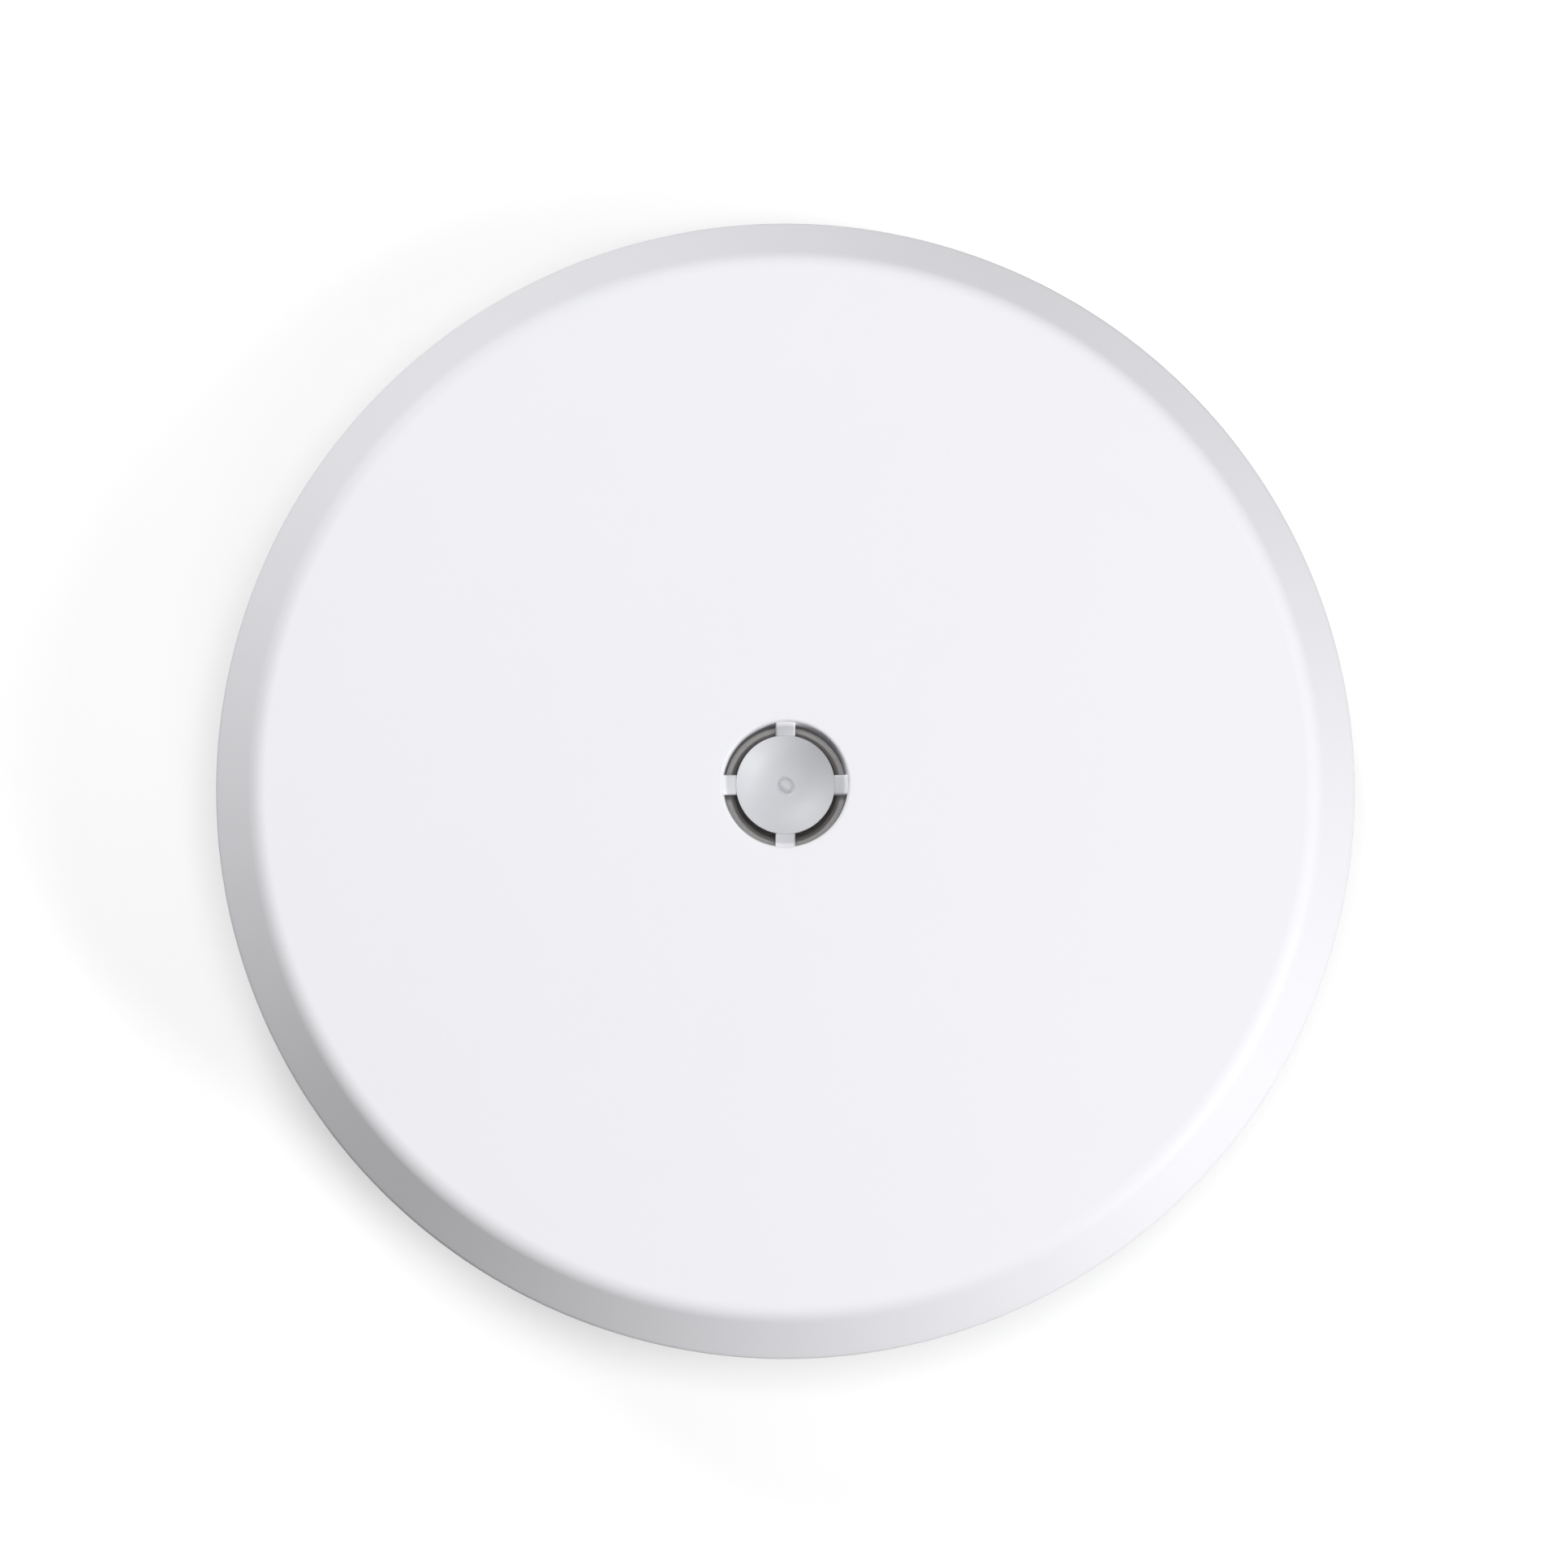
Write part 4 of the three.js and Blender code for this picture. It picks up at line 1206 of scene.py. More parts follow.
@dataclass
class Housing:
    """The painted casting behind the cover, with its cable bay, bosses, pads and pockets.

    Attributes:
        extent: the CAD casting's box.
        rear_radius: radius of the flat rear.
        wall: thickness of the tray.
        shoulder_rise: from the rear to the shoulder under the cover's rim.
        lip_radius: radius of the lip inside the cover's rim.
        lip_wall: thickness of that lip.
        lip_top: height of its edge.
        bay: half width, near end, far end and top of the cable bay.
        bay_wall: thickness of the bay's walls.
        jack: half width, bottom and top of the jack's window.
        reset: the reset hole's x, height and radius.
        ledge: bottom and top of the ledge that clears the board.
        pads: centre and side of each pad that carries heat from a can.
        pad_top: height of those pads.
        stud_boss: radius and top of the studs' bosses.
        standoff: radius and top of the board's standoffs.
        boss: radius and top of the housing screws' bosses.
        stud_hole: radius and top of the hole that a stud is pressed into.
        pilot: radius, bottom and top of the hole for a board screw.
        screw_hole: radius and top of the hole for a housing screw.
        screw_seat: radius and top of the recess for its head.
        detent: the latch pocket's orbit, angle, side and depth.
    """

    extent: Extent
    rear_radius: float = 67.5
    wall: float = 2.2
    shoulder_rise: float = 14
    lip_radius: float = 77.4
    lip_wall: float = 1.6
    lip_top: float = 23
    bay: tuple[float, ...] = (17, 36, 58, 26.2)
    bay_wall: float = 2
    jack: tuple[float, ...] = (8.2, 13.8, 25.9)
    reset: tuple[float, ...] = (12.6, 19, 1.4)
    ledge: Point = (12.3, 14.3)
    pads: tuple[tuple[float, ...], ...] = ((-16, -20, 24), (22, -22, 20), (24, 8, 18))
    pad_top: float = 9.2
    stud_boss: Point = (4, 10)
    standoff: Point = (3, 12.45)
    boss: Point = (3.7, 12)
    stud_hole: Point = (1.65, 9.9)
    pilot: tuple[float, ...] = (1.05, 9, 14)
    screw_hole: Point = (1.7, 13)
    screw_seat: Point = (3.1, 8.35)
    detent: tuple[float, ...] = (36, 232, 9, 0.9)

    def tray(self) -> Surface:
        """Rear, conical side, shoulder and lip, then back along the inside, turned about the axis."""
        rear, top, side = self.extent.low[2], self.lip_top, self.extent.size[0] / 2
        shoulder, inner = rear + self.shoulder_rise, self.lip_radius - self.lip_wall
        profile = rounded([
            (0, rear, 0), (self.rear_radius - 0.9, rear, 1.6), (side, shoulder - 1.4, 1.0),
            (side, shoulder, 0.25), (self.lip_radius, shoulder, 0.12), (self.lip_radius, top, 0.4),
            (inner, top, 0.4), (inner, shoulder - 1.2, 1.4),
            (self.rear_radius - self.wall, rear + self.wall, 2.2), (0, rear + self.wall, 0),
        ])
        return turned(profile, 192)

    def build(self) -> None:
        """Joins the bosses, pads and bay to the tray, cuts the holes, eases the edges and dresses it."""
        rear, inner = self.extent.low[2], self.extent.low[2] + 0.8
        half, near, far, top = self.bay
        wall = self.bay_wall
        jack_half, jack_low, jack_high = self.jack
        reset_x, reset_z, reset_radius = self.reset
        casting = loose_object("casting", self.tray())
        low, high = (-half - wall, near - wall, inner), (half + wall, far + wall, self.extent.high[2])
        joined = [rounded_block(low, high, 1.6, 0.5)]
        for x, y, side in self.pads:
            low, high = (x - side / 2, y - side / 2, inner), (x + side / 2, y + side / 2, self.pad_top)
            joined.append(rounded_block(low, high, 1.2, 0.3))
        posts = ((STUDS, self.stud_boss), (BOARD_SCREWS, self.standoff), (HOUSING_SCREWS, self.boss))
        for ring, (radius, height) in posts:
            joined += [post(*c, radius, inner, height) for c in ring.places()]
        carve(casting, joined, Cut.JOIN)
        x, y = polar(*self.detent[:2])
        pocket, depth = self.detent[2] / 2, self.detent[3]
        cuts = [
            block((-half, near, rear - 1), (half, far, top), 1.5),
            block((-jack_half, near - wall - 1, jack_low), (jack_half, near + 1, jack_high), 0.1),
            pin(reset_x, -reset_z, reset_radius, near - wall - 1, near + 1).tipped(),
            block(
                (-half - wall + 0.5, near - wall - 0.4, self.ledge[0]),
                (half + wall - 0.5, near - wall + 0.01, self.ledge[1]),
                0.1,
            ),
            block((x - pocket, y - pocket, rear - 1), (x + pocket, y + pocket, rear + depth), 1.5),
        ]
        holes = [
            (STUDS, self.stud_hole[0], rear - 1, self.stud_hole[1], 32),
            (BOARD_SCREWS, *self.pilot, 24),
            (HOUSING_SCREWS, self.screw_hole[0], rear, self.screw_hole[1], 32),
            (HOUSING_SCREWS, self.screw_seat[0], rear - 1, self.screw_seat[1], 48),
        ]
        cuts += [pin(*c, *sizes) for ring, *sizes in holes for c in ring.places()]
        carve(casting, cuts, Cut.REMOVE)
        soften(casting, 0.18, 2, 55)
        piece("housing", casting, BASE_PAINT, replaces=["base_housing"], smooth=35)


@dataclass
class Bracket:
    """The zinc-plated ceiling plate with its riveted latch leaf.

    Attributes:
        extent: the CAD plate's box, which sets the foot's radius.
        sheet: thickness of the plate.
        raised: how far its middle stands off the ceiling.
        foot_inner: where the foot ring starts.
        notch: half width and start of the cable notch.
        keyhole: half width of the keyholes' narrow part and radius of their round end.
        release: how far the keyholes run, in degrees.
        slot: orbit, half width and half length in degrees of the ceiling screws' slots.
        slot_angles: where those slots are.
        latch: orbit and angle of the latch's bump.
        leaf: length, width and thickness of the latch leaf.
        bump: height of its bump.
        rivet: radius of the rivet's shank and of its heads.
    """

    extent: Extent
    sheet: float = 1.5
    raised: float = 3.4
    foot_inner: float = 50
    notch: Point = (17, 12)
    keyhole: Point = (2.1, 4.2)
    release: float = 15
    slot: tuple[float, ...] = (26, 2, 6)
    slot_angles: tuple[float, ...] = (200, 238, 302, 340)
    latch: Point = (36, 232)
    leaf: tuple[float, ...] = (26, 8, 0.4)
    bump: float = 1.1
    rivet: Point = (1.5, 2.6)

    @property
    def seat(self) -> float:
        """Height of the latch leaf's underside."""
        return self.raised + self.sheet + 0.05

    @property
    def rivet_place(self) -> np.ndarray:
        """Where the rivet stands."""
        return polar(*self.latch) + polar(self.leaf[0] - 7, self.latch[1] + 90)

    def plate(self) -> None:
        """Turns the pan, cuts its notch, keyholes, slots and rivet hole, and eases its edges."""
        foot, low, sheet = self.extent.size[0] / 2, self.raised, self.sheet
        inner = self.foot_inner
        profile = rounded([
            (0, low, 0), (inner - 2.2, low, 1.3), (inner - 0.4, 0, 0.7), (foot, 0, 0.3),
            (foot, sheet, 0.3), (inner + 0.8, sheet, 0.9), (inner - 1, low + sheet, 1.3),
            (0, low + sheet, 0),
        ])
        pan = loose_object("pan", turned(profile, 160))
        half, start = self.notch
        cuts = [block((-half, start, -1), (half, start + 60, low + sheet + 1), 5)]
        narrow, wide = self.keyhole
        for angle in STUDS.angles:
            cuts.append(arc_slot(STUDS.orbit, narrow, angle - 0.5, angle + self.release, 1, 6))
            cuts.append(pin(*polar(STUDS.orbit, angle + self.release), wide, 1, 6.02))
        orbit, half_width, reach = self.slot
        cuts += [arc_slot(orbit, half_width, a - reach, a + reach, 1, 6) for a in self.slot_angles]
        cuts.append(pin(*self.rivet_place, self.rivet[0] + 0.05, 1, 6, 24))
        carve(pan, cuts, Cut.REMOVE)
        soften(pan, 0.16, 2, 55)
        piece("ceiling_plate", pan, ZINC, Body.BRACKET, ["mounting_plate"], 35)

    def latch_leaf(self) -> None:
        """Sweeps a flat strip along the leaf's line, with a rounded bump, and drills it for the rivet.

        The line is level, rises to the bump with rounded bends and ends in a short lead.
        """
        length, width, sheet = self.leaf
        bends = [
            (-4.5, 0.15, 0),
            (-2.6, 0.3, 0.8),
            (-0.9, self.bump, 0.7),
            (0.9, self.bump, 0.7),
            (2.8, 0.12, 1.2),
            (6, 0, 1.5),
            (length - 3, 0, 0),
        ]
        line_of_leaf = rounded(bends, 6)
        along = polar(1, self.latch[1] + 90)
        start = polar(*self.latch)
        flat = start + line_of_leaf[:, :1] * along
        rise = self.seat + sheet / 2 + line_of_leaf[:, 1:]
        section = outline(width, sheet, 0.15, 3)[0]
        strip = swept(np.concatenate([flat, rise], axis=1), section, (0, 0, 1))
        leaf = loose_object("leaf", strip)
        hole = pin(*self.rivet_place, self.rivet[0] + 0.05, self.seat - 1, self.seat + 1, 24)
        carve(leaf, [hole], Cut.REMOVE)
        made = piece("latch_leaf", leaf, SPRING_STEEL, Body.BRACKET, ["latch_spring"], 30)
        anchor = (start[0] * MM, start[1] * MM, self.seat * MM)
        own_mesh(made)

    def latch_rivet(self) -> None:
        """A shank with a domed head at each end, turned about its own axis."""
        shank, head = self.rivet
        top, under = self.seat + self.leaf[2] + 0.05, self.raised - 0.05
        profile = rounded([
            (0, under - 0.65, 0), (head * 0.55, under - 0.62, 0.5), (head, under - 0.25, 0.3),
            (head, under, 0.1), (shank, under, 0), (shank, top, 0), (head, top, 0.1),
            (head, top + 0.2, 0.2), (head * 0.55, top + 0.43, 0.5), (0, top + 0.45, 0),
        ], 4)
        shape = turned(profile, 40, *self.rivet_place)
        piece("latch_rivet_head", shape, NICKEL, Body.BRACKET, ["latch_rivet"], 50)

    def build(self) -> None:
        """Makes the plate, the leaf and the rivet."""
        self.plate()
        self.latch_leaf()
        self.latch_rivet()


@dataclass(frozen=True)
class Screw:
    """A machine screw with a cross recess and a rolled thread.

    Attributes:
        node: the CAD screw that it stands for.
        x: place along X.
        y: place along Y.
        head: radius of the head.
        head_ends: heights of the head's outer face and of its seat.
        shank: radius over the thread.
        tip: height of the shank's end.
        pitch: thread pitch.
    """

    node: str
    x: float
    y: float
    head: float
    head_ends: Point
    shank: float
    tip: float
    pitch: float

    def build(self) -> None:
        """Turns the screw with a helical groove and cuts the recess.

        The radius of the shank is shank - depth |2 frac(z / pitch - a / turn) - 1|, eased in from the seat.
        """
        face, seat = self.head_ends
        way = 1 if self.tip > seat else -1
        steps = 24
        a = np.linspace(0, TAU, steps, endpoint=False)
        head = rounded([
            (self.head * 0.3, face, 0), (self.head * 0.75, face + way * 0.12, 0.6),
            (self.head, face + way * 0.55, 0.5), (self.head, seat, 0.15), (self.shank - 0.12, seat, 0),
        ], 4)
        z = np.linspace(seat + way * 0.35, self.tip - way * 0.5, int(abs(self.tip - seat) * 9))
        wave = np.abs(2 * ((z[:, None] / self.pitch - a[None] / TAU) % 1) - 1)
        thread = self.shank - 0.22 * wave
        end = np.array([[self.shank - 0.3, self.tip - way * 0.25], [self.shank * 0.5, self.tip]])
        r = np.concatenate([np.repeat(head[:, :1], steps, 1), thread, np.repeat(end[:, :1], steps, 1)])
        height = np.concatenate([head[:, 1], z, end[:, 1]])
        height = np.repeat(height[:, None], steps, 1)
        grid = np.stack([self.x + r * np.cos(a), self.y + r * np.sin(a), height], -1)
        grid = grid[::way]
        poles = [np.array([self.x, self.y, face]), np.array([self.x, self.y, self.tip])][::way]
        screw = loose_object("screw", woven(grid, *poles))
        deep, reach = 0.9, self.head * 0.45
        low, high = sorted([face - way * 0.5, face + way * deep])
        arms = [(reach, 0.3), (0.3, reach)]
        cuts = [block((self.x - w, self.y - d, low), (self.x + w, self.y + d, high), 0.12) for w, d in arms]
        carve(screw, cuts, Cut.REMOVE)
        piece(f"{self.node}_shape", screw, NICKEL, replaces=[self.node], smooth=40)


@dataclass
class Fasteners:
    """The bayonet studs and the two sets of screws.

    Attributes:
        stud_heights: bottom and top of the head, bottom and top of the shoulder, and the shank's end.
        stud_radii: radii of head, shank and shoulder.
        housing_screw: head radius, head ends, shank radius, tip and pitch of a housing screw.
        board_screw: the same of a board screw.
    """

    stud_heights: tuple[float, ...] = (1.2, 2.7, 5.2, 5.95, 9.8)
    stud_radii: tuple[float, ...] = (3.6, 1.6, 2.6)
    housing_screw: tuple[Any, ...] = (2.8, (6.3, 8.3), 1.2, 18, 0.7)
    board_screw: tuple[Any, ...] = (2.2, (15.75, 14.15), 1.0, 9.4, 0.5)

    def stud(self, number: int, place: np.ndarray) -> None:
        """Turns one stud: a rounded head, its neck, a shoulder on the casting and the pressed shank."""
        low, neck, shoulder, seat, end = self.stud_heights
        head, shank, collar = self.stud_radii
        profile = rounded([
            (0, low, 0), (head * 0.6, low, 0.3), (head, low + 0.4, 0.5), (head, neck, 0.3),
            (shank, neck, 0.25), (shank, shoulder, 0.15), (collar, shoulder, 0.2), (collar, seat, 0.1),
            (shank, seat, 0), (shank, end, 0.4), (0, end, 0),
        ])
        node, shape = f"bayonet_stud_{number}", turned(profile, 56, *place)
        piece(f"stud_{number}", shape, NICKEL, replaces=[node], smooth=40)

    def build(self) -> None:
        """Makes three studs, four housing screws and four board screws."""
        for number, place in enumerate(STUDS.places(), 1):
            self.stud(number, place)
        for number, place in enumerate(HOUSING_SCREWS.places(), 1):
            Screw(f"housing_screw_{number}", *place, *self.housing_screw).build()
        for number, place in enumerate(BOARD_SCREWS.places(), 1):
            Screw(f"board_screw_{number}", *place, *self.board_screw).build()


@dataclass
class Jack:
    """The network jack: a plated shell, its moulded insert and eight spring contacts.

    Attributes:
        shell: the CAD shell's box.
        insert: the CAD insert's box.
        sheet: thickness of the shell.
        plug: width, height and depth of the plug's opening.
        floor: from the insert's underside to the opening.
        tab: width and height of the locking tab's step.
        pitch: spacing of the contacts.
    """

    shell: Extent
    insert: Extent
    sheet: float = 0.3
    plug: tuple[float, ...] = (11.9, 7.2, 12.5)
    floor: float = 2
    tab: Point = (6.2, 1.4)
    pitch: float = 1.02

    def build(self) -> None:
        """Makes the shell with its grounding tongues, the insert and the contacts."""
        low, high, sheet = self.shell.low, self.shell.high, self.sheet
        can = loose_object("can", rounded_block(low, high, 0.5, 0.3))
        inside = block(low + sheet, (high[0] - sheet, high[1] + 1, high[2] - sheet), 0.3)
        tongue = block((low[0] - 1, high[1] - 7, high[2] - 5), (low[0] + 1, high[1] - 2, high[2] - 4.6), 0.1)
        across = tongue.moved(x=high[0] - low[0])
        upper, lower = tongue.moved(z=-2), across.moved(z=-2)
        carve(can, [inside, tongue, across, upper, lower], Cut.REMOVE)
        soften(can, 0.06, 1, 50)
        piece("jack_can", can, TIN, replaces=["jack_shell"], smooth=35)
        self.moulding()
        self.contacts()

    def moulding(self) -> None:
        """The insert with the plug's opening and the step for its tab."""
        low, high = self.insert.low, self.insert.high
        width, height, depth = self.plug
        front, opening = high[1], low[2] + self.floor
        body = loose_object("insert", rounded_block(low, high, 0.3, 0.2))
        hollow = block((-width / 2, front - depth, opening), (width / 2, front + 1, opening + height), 0.25)
        half, drop = self.tab[0] / 2, self.tab[1]
        step = block((-half, front - depth, opening - drop), (half, front + 1, opening + 1), 0.2)
        carve(body, [hollow, step], Cut.REMOVE)
        soften(body, 0.12, 2, 50)
        piece("jack_moulding", body, JACK_PLASTIC, replaces=["jack_insert"], smooth=35)

    def contacts(self) -> None:
        """Eight round wires, each sloping down into the opening from its roof and bent back at its end."""
        front, roof = self.insert.high[1], self.insert.low[2] + self.floor + self.plug[1]
        bends = [(front - 1.2, roof - 0.25, 0), (front - 2.2, roof - 0.3, 0.4), (front - 9, roof - 3.4, 1.2)]
        bends += [(front - 11.8, roof - 2.6, 0)]
        side = rounded(bends, 6)
        section = outline(0.42, 0.3, 0.14, 3)[0]
        places = (np.arange(8) - 3.5) * self.pitch
        paths = [np.column_stack([np.full(len(side), x), side]) for x in places]
        wires = [swept(path, section, (0, 0, 1)) for path in paths]
        piece("jack_contacts", Surface.joined(wires), GOLD, smooth=40)


@dataclass
class Reset:
    """The recessed reset button and the switch behind it.

    Attributes:
        button: the CAD button's box.
        pin: radius of the button.
        flange: radius of the flange behind the wall.
        flange_ends: the flange's two faces, from the button's back end.
    """

    button: Extent
    pin: float = 1.2
    flange: float = 1.9
    flange_ends: Point = (0.4, 1.3)

    def build(self) -> None:
        """Turns the button with a dished end about its own axis, and makes the switch."""
        back, front = self.button.low[1], self.button.high[1]
        x, z = self.button.centre[0], self.button.centre[2]
        near, far = back + self.flange_ends[0], back + self.flange_ends[1]
        radius = self.pin
        profile = rounded([
            (0, back, 0), (radius, back, 0.2), (radius, near, 0), (self.flange, near, 0.15),
            (self.flange, far, 0.15), (radius, far, 0.1), (radius, front, 0.25),
            (radius * 0.6, front - 0.12, 0.3), (0, front - 0.2, 0),
        ])
        shape = turned(profile, 40, x, -z).tipped()
        piece("reset_pin", shape, BUTTON, Body.RESET_BUTTON, ["reset_button"], 45)
        piece("reset_switch_case", refined("reset_switch", 0.2), PACKAGE, replaces=["reset_switch"])


@dataclass
class LightPipe:
    """The status light and the white cup and gasket that carry its light to the port, both coloured darker as
    painted shade seen through the port's slots.

    Attributes:
        seat: height of the board's top.
        cup_top: height of the cup's flange.
        gasket: inner and outer radius of the gasket.
        gasket_ends: heights of its two faces.
    """

    seat: float = 14.15
    cup_top: float = 25.4
    gasket: Point = (8.6, 9.5)
    gasket_ends: Point = (25.5, 26.5)

    def build(self) -> None:
        """Turns the cup, the gasket and the lens, and gives the light a moulded case with two terminals."""
        z, top = self.seat, self.cup_top
        cup = rounded([
            (3.4, z, 0.1), (5.4, z, 0.2), (5.4, z + 1, 0.3), (4.6, z + 1.6, 0.6), (8, top - 1.2, 0.8),
            (9.6, top - 1, 0.2), (9.6, top, 0.2), (7.4, top, 0.5), (3.6, z + 1.4, 0.5),
        ], closed=True)
        # The cup's dark grey is painted shade for the port's slots
        piece("cup", turned(cup, 96), CUP_PAINTED_SHADE, replaces=["light_cup"], smooth=40)
        (inner, outer), (low, high) = self.gasket, self.gasket_ends
        corners = [(inner, low, 0.2), (outer, low, 0.2), (outer, high, 0.2), (inner, high, 0.2)]
        ring = rounded(corners, 3, closed=True)
        # The gasket's warm grey is painted shade for the port's slots
        piece("foam_ring", turned(ring, 72), GASKET_PAINTED_SHADE, replaces=["cup_gasket"], smooth=60)
        dome = np.concatenate([[[0, z + 0.7], [1.5, z + 0.7]], arc(0, z + 0.75, 1.45, 0, 90, 10)])
        piece("lens", turned(dome, 48), LENS, replaces=["status_light"], smooth=50)
        case = rounded_block((-1.7, -1.7, z), (1.7, 1.7, z + 0.75), 0.25, 0.1)
        end = rounded_block((-0.35, -1.2, z), (0.35, 1.2, z + 0.5), 0.1, 0.05)
        piece("light_case", Surface.joined([case, end.moved(x=-1.55), end.moved(x=1.55)]), CUP_PAINTED_SHADE, smooth=40)


@dataclass
class Electronics:
    """The board and the parts on it.

    Attributes:
        board: the CAD board's box.
        bay: half width and start of the notch that clears the cable bay.
        rows: first place and count of the small parts' rows, as (x, y, columns, rows).
        spacing: distance between small parts along X and Y.
    """

    board: Extent
    bay: Point = (19.6, 33.6)
    rows: tuple[tuple[float, ...], ...] = (
        (-41, 16, 3, 2), (36, 4, 3, 5), (10.2, 11, 2, 6), (-10, 8, 3, 2),
        (-6, -34, 6, 2), (30, -12, 4, 3), (-32, -22, 3, 4), (12, -24, 4, 3),
    )
    spacing: Point = (1.9, 2.4)

    def laminate(self) -> None:
        """Turns the board, cuts the bay's notch and the screw holes and eases the edges."""
        low, high = self.board.low, self.board.high
        radius, bottom, top = self.board.size[0] / 2, low[2], high[2]
        disc = turned(np.array([[0, bottom], [radius, bottom], [radius, top], [0, top]]), 160)
        board = loose_object("laminate", disc)
        half, start = self.bay
        cuts = [block((-half, start, bottom - 1), (half, radius + 4, top + 1), 1.0)]
        cuts += [pin(*c, 1.3, bottom - 1, top + 1, 32) for c in BOARD_SCREWS.places()]
        carve(board, cuts, Cut.REMOVE)
        soften(board, 0.08, 1, 55)
        piece("board", board, MASK, replaces=["main_board"], smooth=30)

    def small_parts(self) -> None:
        """Rows of small resistors and capacitors, with tinned ends, standing on the board."""
        top = self.board.high[2] + 0.02
        body = rounded_block((-0.4, -0.6, top), (0.4, 0.6, top + 0.6), 0.1, 0.05)
        end = rounded_block((-0.43, -0.22, top), (0.43, 0.22, top + 0.63), 0.1, 0.05)
        bodies, ends = [], []
        for x, y, columns, rows in self.rows:
            for place in np.stack(np.meshgrid(np.arange(columns), np.arange(rows)), -1).reshape(-1, 2):
                cx, cy = np.array([x, y]) + place * self.spacing
                bodies.append(body.moved(cx, cy))
                ends += [end.moved(cx, cy - 0.8), end.moved(cx, cy + 0.8)]
        piece("small_part_bodies", Surface.joined(bodies), FERRITE)
        piece("small_part_ends", Surface.joined(ends), TIN)

    def can(self, number: int) -> None:
        """One drawn can with rounded corners and a grid of vents in its face."""
        node = f"shield_can_{number}"
        box = Extent.of(node)
        shell = loose_object("can", rounded_block(box.low, box.high, 1.0, 0.35))
        inside = block(box.low + 0.2, (*(box.high[:2] - 0.2), box.high[2] + 1), 0.8)
        spots = np.stack(np.meshgrid(np.linspace(-1, 1, 3), np.linspace(-1, 1, 3)), -1).reshape(-1, 2)
        outer = spots[np.abs(spots).max(axis=1) > 0]
        places = box.centre[:2] + outer * box.size[:2] * 0.42
        vents = [pin(*p, 0.6, box.low[2] - 1, box.low[2] + 1, 16) for p in places]
        carve(shell, [inside, *vents], Cut.REMOVE)
        piece(f"{node}_shape", shell, TIN, replaces=[node], smooth=35)

    def capacitor(self, number: int) -> None:
        """One radial capacitor: a sleeve with a crimp, and a bare top with a pressed cross."""
        node = f"capacitor_{number}"
        box = Extent.of(node)
        z, top, radius = box.low[2], box.high[2], box.size[0] / 2
        x, y = box.centre[:2]
        sleeve = rounded([
            (0, z, 0), (radius - 0.3, z, 0.3), (radius, z + 0.5, 0.4), (radius, z + 1.6, 0.4),
            (radius - 0.5, z + 2.1, 0.4), (radius, z + 2.6, 0.4), (radius, top - 0.1, 0.5),
            (radius - 0.7, top, 0.3), (radius - 0.8, top - 0.4, 0), (0, top - 0.4, 0),
        ])
        piece(f"{node}_sleeve", turned(sleeve, 56, x, y), SLEEVE, replaces=[node])
        rim, low, high = radius - 0.85, top - 0.5, top - 0.2
        plate = rounded([(0, low, 0), (rim, low, 0.1), (rim, high, 0.2), (0, high, 0)])
        disc = loose_object("disc", turned(plate, 48, x, y))
        arms = [(radius * 0.6, 0.12), (0.12, radius * 0.6)]
        cross = [block((x - w, y - d, top - 0.3), (x + w, y + d, top + 0.1), 0.08) for w, d in arms]
        carve(disc, cross, Cut.REMOVE)
        piece(f"{node}_top", disc, TIN)

    def windings(self, node: str, turns: int) -> None:
        """A rounded core with its wire: turns stacked as rounded rectangles bulging by a half wave each."""
        box = Extent.of(node)
        piece(f"{node}_core", refined(node, 0.35, 3), FERRITE, replaces=[node])
        t = np.linspace(0, turns, turns * 8 + 1)
        bulge = 0.22 * np.abs(np.sin(np.pi * t))
        depth = np.full(t.shape, box.size[1] * 0.985) + bulge * 0.5
        flat = outline(box.size[0] * 0.58 + bulge, depth, np.full(t.shape, 1.5), 4) + box.centre[:2]
        z = np.linspace(box.low[2] + box.size[2] * 0.34, box.high[2] - box.size[2] * 0.2, len(t))
        ends = [np.array([*box.centre[:2], h]) for h in (z[0], z[-1])]
        piece(f"{node}_wire", woven(raised(flat, z), *ends), COPPER_WIRE)

    def legs(self, node: str, count: int) -> None:
        """A moulded package with a row of bent legs along each long side."""
        box = Extent.of(node)
        piece(f"{node}_case", refined(node, 0.25), PACKAGE, replaces=[node])
        places = np.linspace(box.low[0] + 1.2, box.high[0] - 1.2, count)
        section = outline(0.5, 0.2, 0.06, 2)[0]
        made = []
        for side, way in ((box.low[1], -1), (box.high[1], 1)):
            bends = [(side - way * 0.1, box.low[2] + 2, 0), (side + way * 0.5, box.low[2] + 2, 0.25)]
            bends += [(side + way * 0.7, box.low[2] + 0.12, 0.25), (side + way * 1.4, box.low[2] + 0.12, 0)]
            leg = rounded(bends, 4)
            for x in places:
                made.append(swept(np.column_stack([np.full(len(leg), x), leg]), section, (0.01, 0.2, 1)))
        piece(f"{node}_legs", Surface.joined(made), TIN)

    def build(self) -> None:
        """Makes the board and everything that stands on it or hangs under it."""
        self.laminate()
        self.small_parts()
        for number in (1, 2, 3):
            self.can(number)
            for node in (f"chip_pad_{number}", f"base_pad_{number}"):
                piece(f"{node}_block", refined(node, 0.15), PAD, replaces=[node])
        for node in ("processor_chip", "memory_chip", "radio_chip_1", "radio_chip_2"):
            piece(f"{node}_case", refined(node, 0.12), PACKAGE, replaces=[node])
        for number in (1, 2):
            self.capacitor(number)
            self.windings(f"power_inductor_{number}", 5)
        self.windings("poe_transformer", 9)
        self.legs("line_transformer", 12)
        for node in [f"wifi_antenna_{i}" for i in (1, 2, 3, 4)] + ["bluetooth_antenna"]:
            piece(f"{node}_strip", refined(node, 0.12), BRASS, replaces=[node])


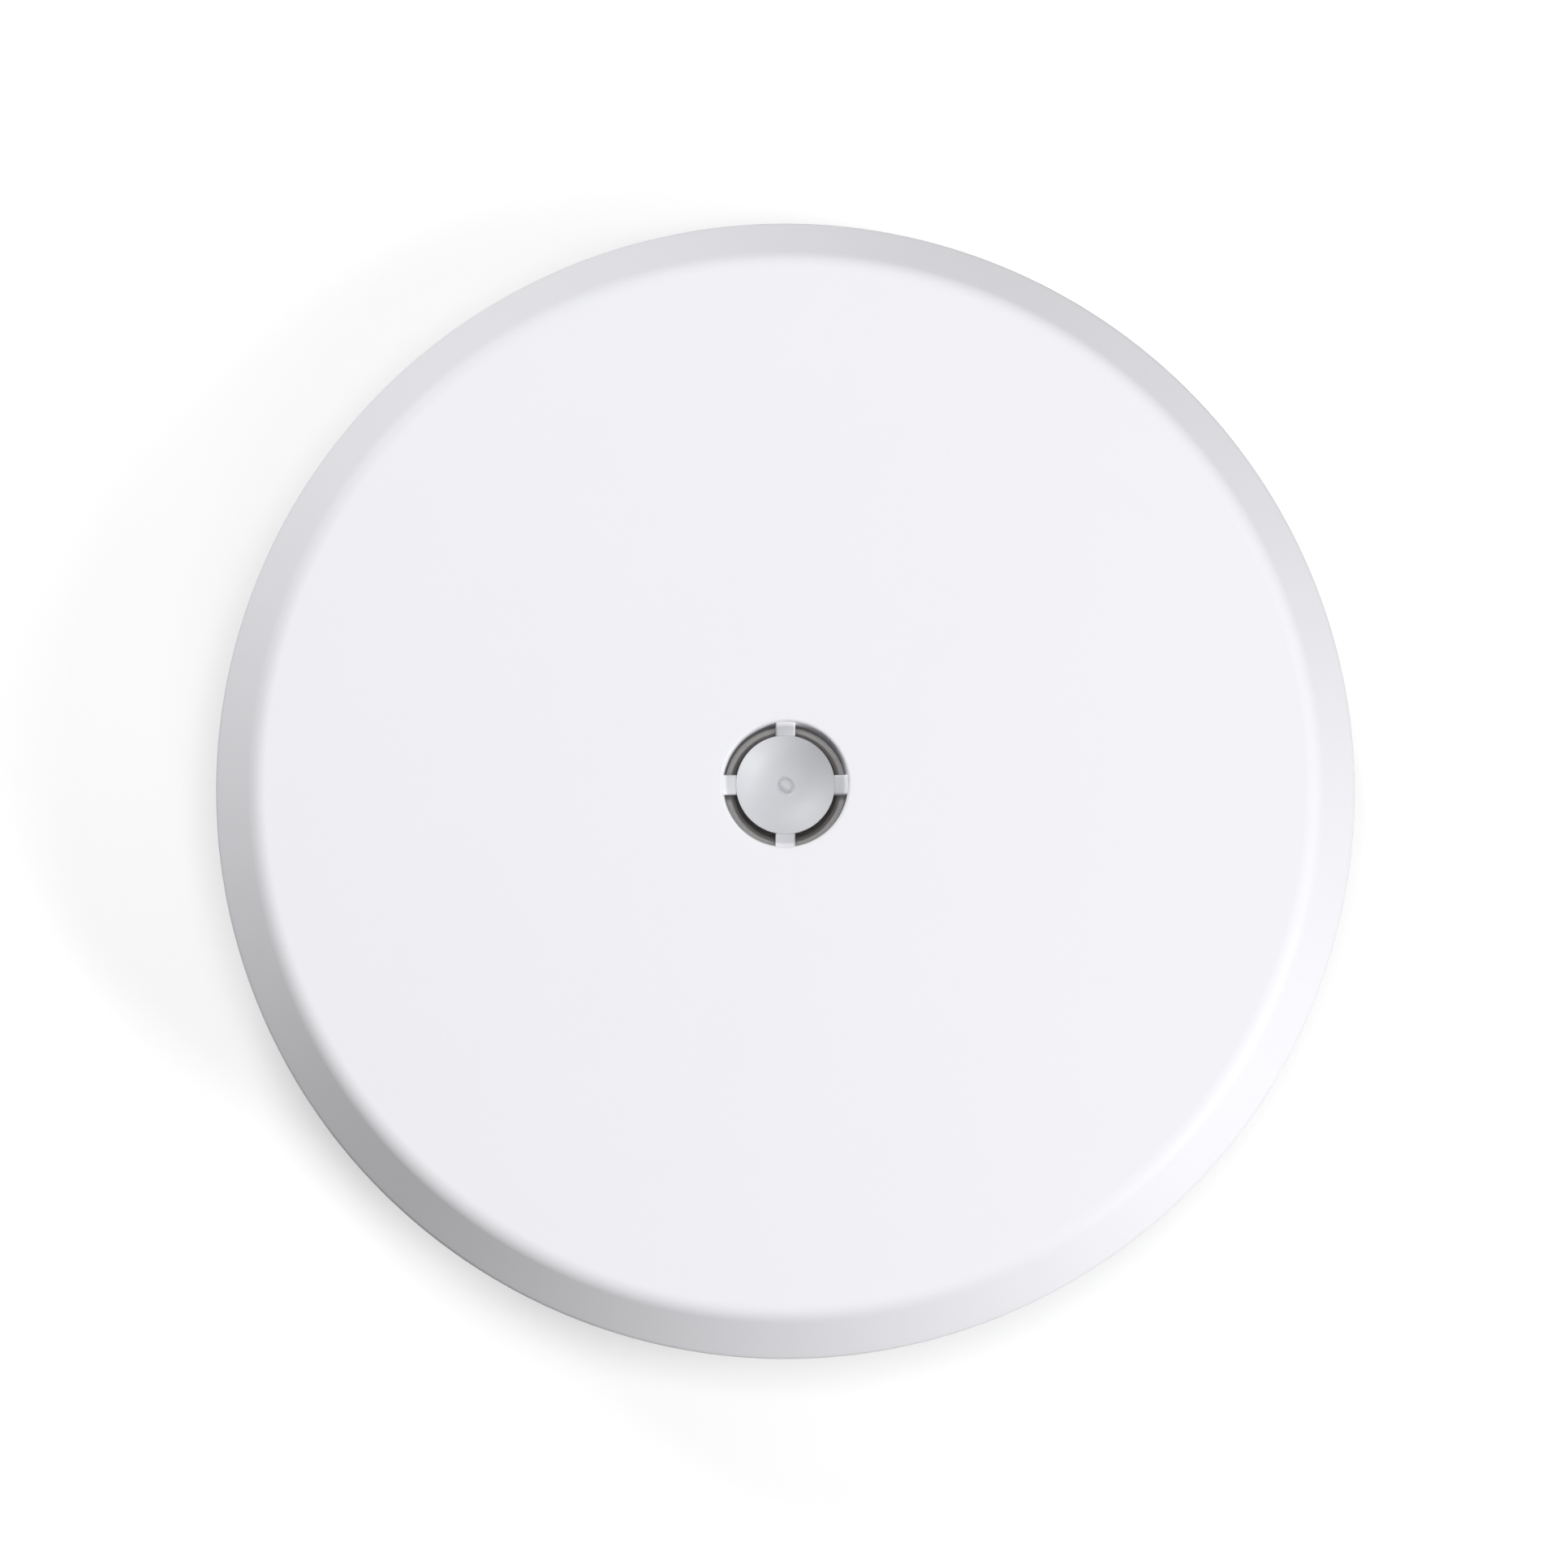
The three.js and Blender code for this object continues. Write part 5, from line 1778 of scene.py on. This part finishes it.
def main() -> None:
    """Builds the studio and every sub-assembly in order."""
    cover = Extent.of("front_cover")
    Studio(cover).build()
    Cover(cover).build()
    LightPipe().build()
    Housing(Extent.of("base_housing")).build()
    Bracket(Extent.of("mounting_plate")).build()
    Fasteners().build()
    Jack(Extent.of("jack_shell"), Extent.of("jack_insert")).build()
    Reset(Extent.of("reset_button")).build()
    Electronics(Extent.of("main_board")).build()


if __name__ == "__main__":
    main()
